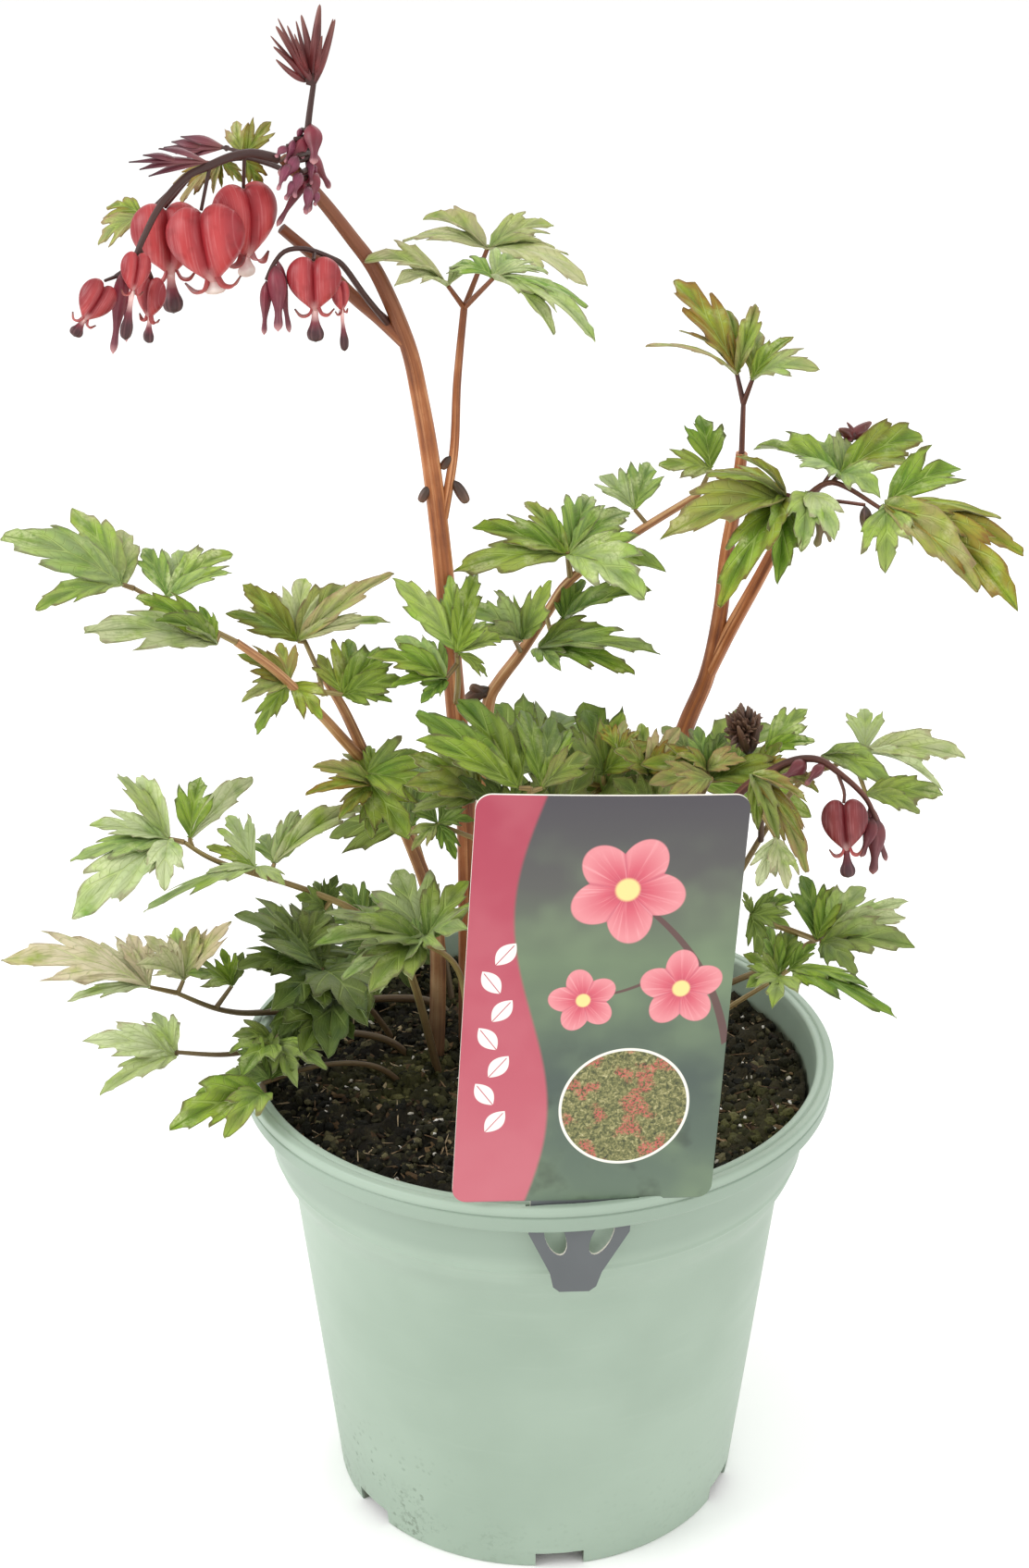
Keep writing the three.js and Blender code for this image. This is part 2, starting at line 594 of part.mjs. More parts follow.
plantRaceme("raceme_right", [
  stem([[27, 13, 118], [41, -4, 185], [52, -14, 221], [64, -20, 235], [73, -26, 240], [80, -30, 237],
    [86, -33, 232], [89, -34, 226]], 1.5, 0.6),
  stem([[79, -30, 237], [80, -36, 235]], 0.5, 0.45),
], [
  bud([88, -34, 227], [85, -38, 217], 4.6),
  bud([89, -34, 227], [89, -34, 210], 4.8),
  bud([87, -33, 230], [93, -30, 212], 4.2),
  bud([71, -25, 239], [64, -30, 236], 4),
  bud([75, -27, 239], [70, -34, 236], 4),
]);
plantLeaf("leaf_label_right", [
  stem([[52, -14, 221], [56, -26, 228], [61, -34, 235]], 1.1, 0.9),
], [
  fan([61, -34, 235], [76, -56, 227], ONE, 0.5),
  fan([61, -34, 235], [56, -60, 219], ONE, 0.45),
  fan([61, -34, 235], [66, -58, 232], ONE, 0.42),
  fan([61, -34, 235], [63, -62, 220], ONE, 0.4),
]);
plantLeaf("leaf_low_right_a", [
  stem([[22, 5, 118], [48, 6, 150], [65, 0, 164], [78, -6, 176], [86, -8, 181]], 1.5, 0.7),
], [
  fan([78, -6, 176], [75, 10, 188], ONE, 0.6),
  fan([86, -8, 181], [91, 8, 189], ONE, 0.7),
  fan([86, -8, 181], [102, -4, 188], ONE, 0.5),
  fan([86, -8, 181], [100, -28, 186], ONE, 0.6),
  fan([78, -6, 176], [84, -26, 180], ONE, 0.5),
]);
plantLeaf("leaf_low_right_b", [
  stem([[18, -6, 118], [47, -14, 153], [64, -22, 171]], 1.4, 0.8),
], [
  fan([64, -22, 171], [91, -50, 178], PAIR, 0.5),
  fan([64, -22, 171], [69, -8, 182], ONE, 0.6),
  fan([64, -22, 171], [59, -10, 192], ONE, 0.6),
  fan([64, -22, 171], [58, -44, 176], ONE, 0.6),
]);
plantLeaf("leaf_back_left", [
  stem([[-24, 42, 118], [-31, 58, 152], [-38, 68, 176]], 1.5, 0.9),
], [
  fan([-38, 68, 176], [-62, 84, 182], PAIR, 0.55),
  fan([-38, 68, 176], [-36, 100, 186], ONE, 0.6),
]);
plantLeaf("leaf_back", [
  stem([[-6, 43, 118], [-4, 72, 160], [0, 88, 186]], 1.6, 0.9),
], [
  fan([0, 88, 186], [-28, 106, 192], PAIR, 0.55),
  fan([0, 88, 186], [26, 112, 190], PAIR, 0.55),
]);
plantLeaf("leaf_back_right", [
  stem([[22, 40, 118], [38, 64, 160], [48, 78, 186]], 1.6, 0.9),
], [
  fan([48, 78, 186], [84, 84, 190], PAIR, 0.55),
  fan([48, 78, 186], [52, 112, 188], ONE, 0.6),
]);
plantLeaf("leaf_flower_stalk", [
  stem([[-61, 8, 386], [-76, 16, 389], [-90, 18, 384], [-102, 16, 374]], 1, 0.6),
], [
  fan([-76, 16, 389], [-73, 22, 399], PAIR, 0.5),
  fan([-82, 17, 388], [-93, 10, 379], ONE, 0.6),
  fan([-102, 16, 374], [-115, 14, 368], ONE, 0.5),
  fan([-102, 16, 374], [-114, 26, 375], ONE, 0.5),
  fan([-82, 17, 388], [-84, 12, 381], ONE, 0.5),
]);

// ---- flower stalks and tufts: stalks, then bud(top, foot, width) ----

plantRaceme("raceme_tall", [
  stem([[-66, 5, 391], [-72, 2, 393], [-77, -2, 393], [-83, -5, 391], [-88, -8, 389], [-94, -13, 383],
    [-98, -17, 376], [-101, -19, 370], [-105, -20, 367]], 1.3, 0.6),
  stem([[-74, 0, 393], [-75, 4, 384]], 0.5, 0.45),
  stem([[-82, -5, 392], [-85, -4, 380]], 0.5, 0.45),
  stem([[-87, -8, 389], [-95, 4, 379]], 0.5, 0.45),
  stem([[-99, -18, 374], [-97, -13, 365]], 0.5, 0.45),
  stem([[-73, 1, 393], [-79, 8, 393], [-82, 10, 393]], 0.5, 0.4),
  stem([[-105, -20, 367], [-107, -24, 367]], 0.5, 0.4),
], [
  bud([-103, -20, 369], [-107, -19, 347], 4.2),
  bud([-101, -19, 370], [-104, -15, 349], 3.4),
  bud([-81, 10, 393], [-93, 14, 393], 5),
  bud([-83, -5, 391], [-98, -14, 395], 4),
]);
plantRaceme("raceme_branch", [
  stem([[-40, 16, 346], [-45, 8, 355], [-50, 3, 364], [-53, 0, 367], [-59, -3, 370], [-64, -5, 370],
    [-67, -6, 367], [-69, -7, 363]], 0.9, 0.5),
  stem([[-57, -2, 369], [-57, -6, 368]], 0.5, 0.45),
  stem([[-53, 0, 367], [-51, -1, 361]], 0.5, 0.45),
], [
  bud([-69, -7, 363], [-70, -8, 349], 4),
  bud([-67, -6, 367], [-66, -12, 351], 4.6),
  bud([-66, -6, 368], [-64, -2, 348], 4),
]);
plantRaceme("raceme_far_right", [
  stem([[66, 22, 285], [75, 12, 295], [76, 8, 300], [86, 2, 301]], 0.7, 0.5),
], [
  bud([76, 8, 300], [74, 5, 288], 4.4),
  bud([75, 12, 295], [79, 15, 286], 3),
  bud([86, 2, 301], [87, -1, 290], 4.6),
]);
plantRaceme("tuft_top", [
  stem([[-58, 9, 384], [-59, 10, 395], [-57, 11, 409]], 1.1, 0.7),
], [
  bud([-57, 11, 408], [-55, 12, 428], 2.6),
  bud([-57, 11, 408], [-51, 8, 425], 2.4),
  bud([-57, 11, 408], [-60, 15, 425], 2.4),
  bud([-57, 11, 408], [-66, 10, 423], 2.6),
  bud([-58, 9, 388], [-67, 4, 374], 4),
  bud([-58, 9, 388], [-59, 1, 378], 4.4),
  bud([-59, 10, 396], [-66, 4, 387], 4.4),
  bud([-59, 10, 396], [-65, 17, 388], 4),
  bud([-59, 10, 392], [-54, 17, 381], 4),
  bud([-58, 10, 399], [-57, 3, 390], 4.4),
]);
plantRaceme("tuft_dry", [
  stem([[64, 23, 193], [63, 14, 207], [63, 4, 217], [61, -3, 230]], 0.9, 0.7),
], [
  bud([61, -3, 229], [56, 0, 241], 3),
  bud([61, -3, 229], [60, 0, 244], 3),
  bud([61, -3, 229], [65, -4, 242], 3),
  bud([61, -3, 229], [59, -8, 240], 3),
], "dry");
plantRaceme("tuft_red", [
  stem([[66, 22, 285], [73, 34, 289], [81, 42, 297], [86, 42, 308]], 0.6, 0.5),
], [
  bud([86, 42, 307], [95, 40, 311], 3),
  bud([86, 42, 307], [90, 47, 313], 3),
  bud([86, 42, 307], [86, 36, 315], 3),
]);

// ---- open flowers: where each hangs, its lower tip, its width and its turn ----

bloom("bloom_left", [-95, 4, 379], [-94, 2, 352], 17, 12);
bloom("bloom_front", [-85, -4, 380], [-82, -6, 359], 19, -8);
bloom("bloom_right", [-75, 4, 384], [-75, 4, 361], 16, 35);
bloom("bloom_long", [-99, -21, 373], [-103, -24, 352], 7, 20);
bloom("bloom_small", [-97, -13, 365], [-99, -12, 348], 8, -30);
bloom("bloom_end", [-107, -24, 366], [-115, -28, 354], 8.5, 15);
bloom("bloom_branch", [-57, -6, 368], [-57, -7, 347], 12.5, 0);
bloom("bloom_branch_long", [-51, -1, 361], [-50, -1, 343], 5, 40);
bloom("bloom_low", [80, -36, 235], [82, -38, 211], 13, -6);

// ---- pot, soil and label ----

function lathe(profile, sides) {
  const points = profile.map(([r, z]) => new THREE.Vector2(r, z));
  return new THREE.LatheGeometry(points, sides).rotateX(Math.PI / 2);
}

const CHANNEL_OUTER = FOOT_RADIUS - FOOT_RING;
const FLOOR_TOP = FOOT_RECESS + FLOOR;

const POT_PROFILE = [
  [0, 0],
  [FOOT_DISC_RADIUS, 0],
  [FOOT_DISC_RADIUS + 1, FOOT_RECESS],
  [CHANNEL_OUTER - 1, FOOT_RECESS],
  [CHANNEL_OUTER, 0],
  [FOOT_RADIUS, 0],
  [WALL_TOP_RADIUS, WALL_TOP_Z],
  [COLLAR_FOOT_RADIUS, COLLAR_FOOT_Z],
  [COLLAR_TOP_RADIUS, POT_HEIGHT - LIP_DEPTH - 1],
  [LIP_RADIUS - 0.5, POT_HEIGHT - LIP_DEPTH],
  [LIP_RADIUS, POT_HEIGHT - 1],
  [LIP_RADIUS - 1, POT_HEIGHT],
  [LIP_RADIUS - LIP_WIDTH + 1, POT_HEIGHT],
  [COLLAR_TOP_RADIUS - WALL, POT_HEIGHT - LIP_DEPTH],
  [COLLAR_FOOT_RADIUS - WALL, COLLAR_FOOT_Z - 1],
  [WALL_TOP_RADIUS - WALL, WALL_TOP_Z - 1],
  [FOOT_RADIUS - WALL + 0.3, FLOOR_TOP],
  [FOOT_DISC_RADIUS - 1, FLOOR_TOP],
  [FOOT_DISC_RADIUS - 2, FLOOR],
  [0, FLOOR],
];

function labelSlot() {
  const thickness = LABEL.thickness + 2 * LABEL_CLEARANCE;
  const slot = new THREE.BoxGeometry(LABEL_FOOT.top + 3, thickness, 4 * LIP_DEPTH);
  slot.translate(0, -LABEL.radius, POT_HEIGHT);
  return solid(slot.rotateZ(LABEL_AZIMUTH));
}

function footNotch(index) {
  const notch = new THREE.BoxGeometry(NOTCH.depth, NOTCH.width, 2 * NOTCH.height);
  notch.translate(FOOT_RADIUS - 2, 0, 0);
  return solid(notch.rotateZ(-Math.PI / 2 + NOTCH.turn + (index * 2 * Math.PI) / NOTCHES));
}

function potSolid() {
  const notches = Array.from({ length: NOTCHES }, (_, index) => footNotch(index));
  return cut(solid(lathe(POT_PROFILE, POT_SIDES)), [labelSlot(), ...notches]);
}

// Soil: the pot's inside, less a small gap, with a crumbled top and a plain hole for each stem.
function soilSolid() {
  const edge = COLLAR_TOP_RADIUS - WALL - 1.4;
  const inside = [
    [0, FLOOR + GAP],
    [FOOT_DISC_RADIUS - 2.3, FLOOR + GAP],
    [FOOT_DISC_RADIUS - 1.3, FLOOR_TOP + GAP],
    [FOOT_RADIUS - WALL - 0.1, FLOOR_TOP + GAP],
    [WALL_TOP_RADIUS - WALL - 0.6, WALL_TOP_Z],
    [COLLAR_FOOT_RADIUS - WALL - 0.6, COLLAR_FOOT_Z],
    [edge, SOIL_Z - 2],
  ];
  for (let ring = SOIL_RINGS - 1; ring >= 0; ring--) inside.push([(edge * ring) / SOIL_RINGS, SOIL_Z]);
  const soil = lathe(inside, SOIL_SIDES);
  const place = soil.getAttribute("position");
  for (let i = 0; i < place.count; i++) {
    const [x, y] = [place.getX(i), place.getY(i)];
    if (place.getZ(i) > SOIL_Z - 1) {
      const crumb = Math.sin(0.31 * x + 0.9) * Math.cos(0.27 * y - 0.4) + 0.5 * Math.sin(0.7 * (x - y));
      place.setZ(i, SOIL_Z + SOIL_CRUMB * crumb);
    }
  }
  return largest(cut(solid(soil), stemCutters));
}

function labelOutline() {
  const { width, height, corner, lift } = LABEL;
  const { top, tip, drop, shoulder } = LABEL_FOOT;
  const side = width / 2;
  const plate = new THREE.Shape();
  plate.moveTo(-side + corner, 0);
  plate.lineTo(-top / 2, 0);
  plate.lineTo(-top / 2, -shoulder);
  plate.lineTo(-tip / 2, -drop - lift);
  plate.lineTo(tip / 2, -drop - lift);
  plate.lineTo(top / 2, -shoulder);
  plate.lineTo(top / 2, 0);
  plate.lineTo(side - corner, 0);
  plate.absarc(side - corner, corner, corner, -Math.PI / 2, 0);
  plate.absarc(side - corner, height - corner, corner, 0, Math.PI / 2);
  plate.absarc(-side + corner, height - corner, corner, Math.PI / 2, Math.PI);
  plate.absarc(-side + corner, corner, corner, Math.PI, 1.5 * Math.PI);
  for (const x of [-LABEL_HOLES.offset, LABEL_HOLES.offset]) {
    const hole = new THREE.Path();
    hole.absellipse(x, -LABEL_HOLES.drop, LABEL_HOLES.halfWidth, LABEL_HOLES.halfHeight, 0, 2 * Math.PI);
    plate.holes.push(hole);
  }
  return plate;
}

function labelSolid() {
  const options = { depth: LABEL.thickness, bevelEnabled: false, curveSegments: 4 };
  const sheet = new THREE.ExtrudeGeometry(labelOutline(), options);
  sheet.rotateX(Math.PI / 2).rotateY(LABEL_ROLL);
  sheet.translate(0, -LABEL.radius + LABEL.thickness / 2, POT_HEIGHT + LABEL.lift);
  return solid(sheet.rotateZ(LABEL_AZIMUTH));
}

addPiece("pot", potSolid(), "pot");
addPiece("soil", soilSolid(), "soil");
addPiece("label", labelSolid(), "label");

export default plant;
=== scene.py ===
import math

import bmesh
import bpy
import numpy as np
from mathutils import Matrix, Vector, noise


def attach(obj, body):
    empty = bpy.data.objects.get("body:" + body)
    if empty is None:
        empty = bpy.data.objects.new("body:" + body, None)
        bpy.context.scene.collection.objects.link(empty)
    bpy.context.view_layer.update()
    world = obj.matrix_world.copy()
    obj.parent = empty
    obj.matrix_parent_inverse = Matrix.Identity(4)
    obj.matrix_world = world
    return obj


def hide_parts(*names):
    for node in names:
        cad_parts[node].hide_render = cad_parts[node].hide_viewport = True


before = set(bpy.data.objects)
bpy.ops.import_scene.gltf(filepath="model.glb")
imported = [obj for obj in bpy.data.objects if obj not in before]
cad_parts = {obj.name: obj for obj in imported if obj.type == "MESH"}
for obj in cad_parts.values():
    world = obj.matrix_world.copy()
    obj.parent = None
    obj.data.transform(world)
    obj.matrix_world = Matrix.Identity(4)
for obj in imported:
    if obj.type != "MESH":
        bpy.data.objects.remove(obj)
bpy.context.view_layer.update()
MM = 0.001
UP = np.array([0.0, 0.0, 1.0])


# ---- node graphs ----


def paint(red, green, blue):
    """A colour as seen, 0 to 255, as the linear colour that a socket takes."""
    shares = [part / 255 for part in (red, green, blue)]
    linear = [s / 12.92 if s <= 0.04045 else ((s + 0.055) / 1.055) ** 2.4 for s in shares]
    return (*linear, 1.0)


def seen(colour):
    return paint(*colour) if isinstance(colour, tuple) else colour


def operator(operation):
    """An operator's two methods, with the wire before the other value and after it: each adds a node."""
    return (
        lambda self, other: self.graph.math(operation, self, other),
        lambda self, other: self.graph.math(operation, other, self),
    )


class Wire:
    """A socket of a node. Arithmetic on it adds Math nodes to its graph."""

    __add__, __radd__ = operator("ADD")
    __sub__, __rsub__ = operator("SUBTRACT")
    __mul__, __rmul__ = operator("MULTIPLY")
    __truediv__, __rtruediv__ = operator("DIVIDE")

    def __init__(self, graph, socket):
        self.graph = graph
        self.socket = socket


class Graph:
    """A node tree, with one way to add any node and short names for the ones used most."""

    def __init__(self, tree):
        self.tree = tree

    def plug(self, socket, value):
        if isinstance(value, Wire):
            self.tree.links.new(value.socket, socket)
        else:
            socket.default_value = value

    def node(self, kind, settings=None, inputs=None):
        made = self.tree.nodes.new(kind)
        for key, value in (settings or {}).items():
            if key == "stops":
                set_stops(made.color_ramp, value)
            else:
                setattr(made, key, value)
        for key, value in (inputs or {}).items():
            self.plug(made.inputs[key], value)
        return made

    def wire(self, kind, output=0, settings=None, inputs=None):
        return Wire(self, self.node(kind, settings, inputs).outputs[output])

    def math(self, operation, *values):
        return self.wire("ShaderNodeMath", 0, {"operation": operation}, dict(enumerate(values)))

    def vector(self, operation, *values):
        return self.wire("ShaderNodeVectorMath", 0, {"operation": operation}, dict(enumerate(values)))

    def scaled(self, value, factor):
        settings = {"operation": "SCALE"}
        return self.wire("ShaderNodeVectorMath", 0, settings, {"Vector": value, "Scale": factor})

    def joined(self, x, y, z):
        return self.wire("ShaderNodeCombineXYZ", 0, None, {"X": x, "Y": y, "Z": z})

    def split(self, value):
        made = self.node("ShaderNodeSeparateXYZ", None, {"Vector": value})
        return [Wire(self, socket) for socket in made.outputs]

    def ramp(self, value, stops):
        return self.wire("ShaderNodeValToRGB", "Color", {"stops": stops}, {"Fac": value})

    def mix(self, factor, a, b, blend="MIX"):
        """A mix of two colours, each a wire or a colour as seen."""
        settings = {"data_type": "RGBA", "blend_type": blend}
        return self.wire("ShaderNodeMix", 2, settings, {0: factor, 6: seen(a), 7: seen(b)})

    def layered(self, colour, *coats):
        """The colour under its coats, each a share and a colour, the last on top."""
        for share, coat in coats:
            colour = self.mix(share, colour, coat)
        return colour

    def step(self, value, low, high):
        """0 below low, 1 above high, smooth between. It falls where low is above high."""
        if low > high:
            return 1 - self.step(value, high, low)
        settings = {"interpolation_type": "SMOOTHSTEP"}
        return self.wire("ShaderNodeMapRange", 0, settings, {0: value, 1: low, 2: high})

    def both(self, a, b):
        return self.math("MINIMUM", a, b)

    def either(self, a, b):
        return self.math("MAXIMUM", a, b)

    def noise(self, place, scale, detail, roughness=0.5, distortion=0.0):
        inputs = {
            "Vector": place,
            "Scale": scale,
            "Detail": detail,
            "Roughness": roughness,
            "Distortion": distortion,
        }
        return self.wire("ShaderNodeTexNoise", "Fac", None, inputs)

    def cells(self, place, scale):
        return self.wire("ShaderNodeTexVoronoi", "Distance", None, {"Vector": place, "Scale": scale})

    def bump(self, height, distance, strength):
        inputs = {"Height": height, "Distance": distance, "Strength": strength}
        return self.wire("ShaderNodeBump", 0, None, inputs)

    def stored(self, geometry, name, value, domain="POINT"):
        """The geometry with a named number of each of its points or instances."""
        settings = {"data_type": "FLOAT", "domain": domain}
        inputs = {"Geometry": geometry, "Name": name, "Value": value}
        return self.wire("GeometryNodeStoreNamedAttribute", 0, settings, inputs)

    def close(self, geometry, finish):
        """Ends a geometry tree: what it made is real mesh with its finish."""
        real = self.wire("GeometryNodeRealizeInstances", 0, None, {"Geometry": geometry})
        dressed = self.wire("GeometryNodeSetMaterial", 0, None, {"Geometry": real, "Material": finish})
        self.node("NodeGroupOutput", None, {"Geometry": dressed})


def set_stops(ramp, stops):
    while len(ramp.elements) > 1:
        ramp.elements.remove(ramp.elements[-1])
    for index, (place, colour) in enumerate(stops):
        element = ramp.elements[0] if index == 0 else ramp.elements.new(place)
        element.position = place
        element.color = paint(*colour)


def open_tree(name, **inputs):
    """A new geometry tree with these inputs and their kinds: its graph, and a wire from each input."""
    tree = bpy.data.node_groups.new(name, "GeometryNodeTree")
    for title, kind in inputs.items():
        tree.interface.new_socket(title, in_out="INPUT", socket_type="NodeSocket" + kind)
    tree.interface.new_socket("Geometry", in_out="OUTPUT", socket_type="NodeSocketGeometry")
    g = Graph(tree)
    given = g.node("NodeGroupInput")
    return g, [Wire(g, socket) for socket in given.outputs[: len(inputs)]]


def grow(piece, tree, **values):
    """Runs a geometry tree on a piece, with its inputs set by identifier, and keeps the plain mesh."""
    modifier = piece.modifiers.new(tree.name, "NODES")
    modifier.node_group = tree
    for item in tree.interface.items_tree:
        if item.item_type == "SOCKET" and item.in_out == "INPUT" and item.name.lower() in values:
            modifier[item.identifier] = values[item.name.lower()]
    return settle(piece)


class Finish(Graph):
    """A material: its graph, its one shader, and the coordinates that its patterns read."""

    def __init__(self, name, **even):
        self.material = bpy.data.materials.new(name)
        self.material.use_nodes = True
        super().__init__(self.material.node_tree)
        self.tree.nodes.clear()
        self.shader = self.node("ShaderNodeBsdfPrincipled")
        output = self.node("ShaderNodeOutputMaterial")
        self.tree.links.new(self.shader.outputs[0], output.inputs["Surface"])
        self.set(**even)

    def place(self):
        return self.wire("ShaderNodeTexCoord", "Object")

    def read(self, attribute, output="Vector"):
        return self.wire("ShaderNodeAttribute", output, {"attribute_name": attribute})

    def set(self, **values):
        for key, value in values.items():
            self.plug(self.shader.inputs[key.replace("_", " ").title().replace("Ior", "IOR")], value)
        return self.material


# ---- meshes ----

MEET = 0.004
SMOOTH_EDGE = 60
SHELL_EDGE = 70
ALL_SMOOTH = 180


def unit(vector):
    return vector / np.linalg.norm(vector)


def turned(vector, about, degrees):
    """A vector turned about a unit vector that is square to it."""
    angle = math.radians(degrees)
    return vector * math.cos(angle) + np.cross(about, vector) * math.sin(angle)


def round_angles(count):
    return np.arange(count) * math.tau / count


def ring_of(count):
    """A ring of so many points at radius 1 round the upright axis."""
    angle = round_angles(count)
    return np.stack([np.cos(angle), np.sin(angle), 0 * angle], axis=1)


def smooth_run(keys, steps):
    """A smooth curve through the keys, each an array of numbers, with so many steps between two."""
    keys = np.asarray(keys, float)
    ends = [2 * keys[0] - keys[1], *keys, 2 * keys[-1] - keys[-2]]
    made = []
    for a, b, c, d in zip(ends, ends[1:], ends[2:], ends[3:]):
        for k in range(steps):
            t = k / steps
            cubic = (3 * b - a - 3 * c + d) * t**3 + (2 * a - 5 * b + 4 * c - d) * t**2
            made.append(b + 0.5 * (cubic + (c - a) * t))
    made.append(keys[-1])
    return np.array(made)


def grid_faces(rows, columns, start=0, closed=False):
    """The quads of a grid of points, numbered row by row."""
    faces = []
    for i in range(rows - 1):
        for j in range(columns if closed else columns - 1):
            a = start + i * columns + j
            b = start + i * columns + (j + 1) % columns
            faces.append((a, b, b + columns, a + columns))
    return faces


def sheet_faces(rows, columns, ends):
    """A thin closed sheet: a grid, the same grid below it, and walls at its sides and at these end rows."""
    count = rows * columns
    faces = grid_faces(rows, columns) + grid_faces(rows, columns, count)
    edges = [(i * columns + j, columns) for i in range(rows - 1) for j in (0, columns - 1)]
    edges.extend((i * columns + j, 1) for i in ends for j in range(columns - 1))
    faces.extend((a, a + step, count + a + step, count + a) for a, step in edges)
    return faces


def placed(name, data):
    """A new object with this data, linked to the scene."""
    made = bpy.data.objects.new(name, data)
    bpy.context.scene.collection.objects.link(made)
    return made


def soften(piece, edge):
    """Smooth shading, but for edges sharper than so many degrees."""
    piece.data.shade_smooth()
    piece.data.set_sharp_from_angle(angle=math.radians(edge))


class Shape:
    """Points in millimetres, faces and point attributes, gathered for one piece."""

    def __init__(self):
        self.points = []
        self.faces = []
        self.data = {}

    def add(self, points, faces, **data):
        points = np.asarray(points, float).reshape(-1, 3)
        start = len(self.points)
        self.points.extend(points)
        self.faces.extend([tuple(start + i for i in face) for face in faces])
        for key, values in data.items():
            self.data.setdefault(key, []).extend(np.asarray(values, float).reshape(len(points), -1))

    def piece(self, name, material, edge=SMOOTH_EDGE):
        """A closed piece: points that meet are joined and all faces turned outwards."""
        mesh = bpy.data.meshes.new(name)
        mesh.from_pydata((np.array(self.points) * MM).tolist(), [], self.faces)
        for key, values in self.data.items():
            values = np.array(values, np.float32)
            kind = {1: "FLOAT", 3: "FLOAT_VECTOR", 4: "FLOAT_COLOR"}[values.shape[1]]
            field = {1: "value", 3: "vector", 4: "color"}[values.shape[1]]
            mesh.attributes.new(key, kind, "POINT").data.foreach_set(field, values.ravel())
        tidy_mesh(mesh)
        mesh.materials.append(material)
        piece = placed(name, mesh)
        soften(piece, edge)
        return piece


def tidy_mesh(mesh):
    work = bmesh.new()
    work.from_mesh(mesh)
    bmesh.ops.remove_doubles(work, verts=work.verts, dist=MEET * MM)
    bmesh.ops.dissolve_degenerate(work, edges=work.edges, dist=MEET * MM / 2)
    bmesh.ops.recalc_face_normals(work, faces=work.faces)
    work.to_mesh(mesh)
    work.free()


def settle(piece):
    """Turns what the modifiers make into the piece's own plain mesh."""
    graph = bpy.context.evaluated_depsgraph_get()
    made = bpy.data.meshes.new_from_object(piece.evaluated_get(graph))
    piece.modifiers.clear()
    plain = piece.data
    piece.data = made
    bpy.data.meshes.remove(plain)
    return piece


def fit(piece, node):
    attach(piece, "root")
    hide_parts(node)
    return piece


# ---- finishes ----

MOSS = 0.5


def leaf_veins(f, out, between):
    """The rib, the side veins and their branches: 1 on a vein, 0 off it."""
    side_vein = f.step(between * (0.3 + out), 0.06, 0.02) * f.step(out, 0.97, 0.6)
    rib = f.step(out, 0.06, 0.02)
    branches = f.math("PINGPONG", out * 4.5 - between * 4.0, 0.5)
    branch = f.step(branches, 0.09, 0.02) * f.step(between, 0.03, 0.08) * 0.5
    return f.either(f.either(side_vein * 0.8, rib), branch)


def leaf_finish():
    """Leaf blades. "blade" is the count of side veins, the way out from the rib, and the blade's side."""
    f = Finish("leaf_blade", specular_ior_level=0.3)
    veins, out, side = f.split(f.read("blade"))
    # The dark share of the tone is painted shade, for leaves deep in the plant's shade and behind others.
    bronze, pale, dark = f.split(f.read("tone"))
    place = f.place()
    between = f.math("PINGPONG", veins, 0.5)
    blotch = f.noise(place, 130.0, 3.0, 0.55)
    patch = f.noise(place, 42.0, 2.0)
    speckle = f.noise(place, 1100.0, 3.0, 0.6)
    vein = leaf_veins(f, out, between)
    crown = f.step(between, 0.5, 0.1) * f.step(out, 0.25, 0.6) * f.step(out, 1.0, 0.8)
    shadow = f.step(between, 0.16, 0.5) * f.step(out, 0.98, 0.6)
    # Painted highlight: pale patches on the outer parts of the blades, weaker on leaves in painted shade.
    highlight_patches = f.step(f.noise(place, 90.0, 3.0), 0.52, 0.66)
    glow = highlight_patches * f.step(out, 0.1, 0.5) * f.step(speckle, 0.3, 0.6)
    rim = f.step(out + (speckle - 0.5) * 0.14 + (blotch - 0.5) * 0.3, 0.86, 1.0)
    tip = rim * f.step(between, 0.4, 0.12)
    flush = bronze * f.step(blotch + out * 0.35 + (patch - 0.5) * 0.8, 0.45, 0.9)
    upper = f.layered(
        f.mix(f.step(patch, 0.36, 0.64), (98, 144, 26), (148, 178, 42)),
        (bronze * 0.7, (152, 154, 40)),
        (f.step(blotch, 0.42, 0.66) * 0.55, (78, 116, 22)),
        (f.step(speckle, 0.5, 0.75) * 0.3, (160, 186, 84)),
        (crown * 0.45, (164, 192, 74)),
        (shadow * 0.5, (62, 96, 18)),
        (glow * (0.7 - dark * 0.45), (208, 218, 156)),
        (rim * 0.6, (84, 100, 48)),
        (tip * 0.8, (78, 72, 46)),
        (f.both(flush * 1.05, 0.95), (142, 108, 34)),
        (f.both(flush, 1.0) * rim * 0.7, (116, 74, 36)),
        (pale * f.step(blotch, 0.15, 0.6), f.mix(bronze, (198, 208, 160), (216, 190, 166))),
        (tip * pale * 0.6, (126, 98, 74)),
        # Painted shade on leaves with a dark tone.
        (dark * 0.85, f.mix(f.step(blotch, 0.4, 0.6), (36, 54, 12), (62, 80, 24))),
        (vein * (0.5 - dark * 0.25), (176, 194, 112)),
    )
    under = f.layered(
        f.mix(speckle, (146, 168, 104), (186, 196, 146)),
        (vein * 0.5, (206, 208, 160)),
        (bronze * 0.4, (178, 150, 104)),
        (dark * 0.6, (74, 96, 52)),
    )
    relief = 0.25 * speckle + 0.5 * blotch - vein * side + shadow * 0.3
    return f.set(
        base_color=f.mix(f.step(side, -0.2, 0.2), under, upper),
        roughness=0.46 + speckle * 0.2 + vein * 0.06,
        normal=f.bump(relief, 0.0006, 0.7),
    )


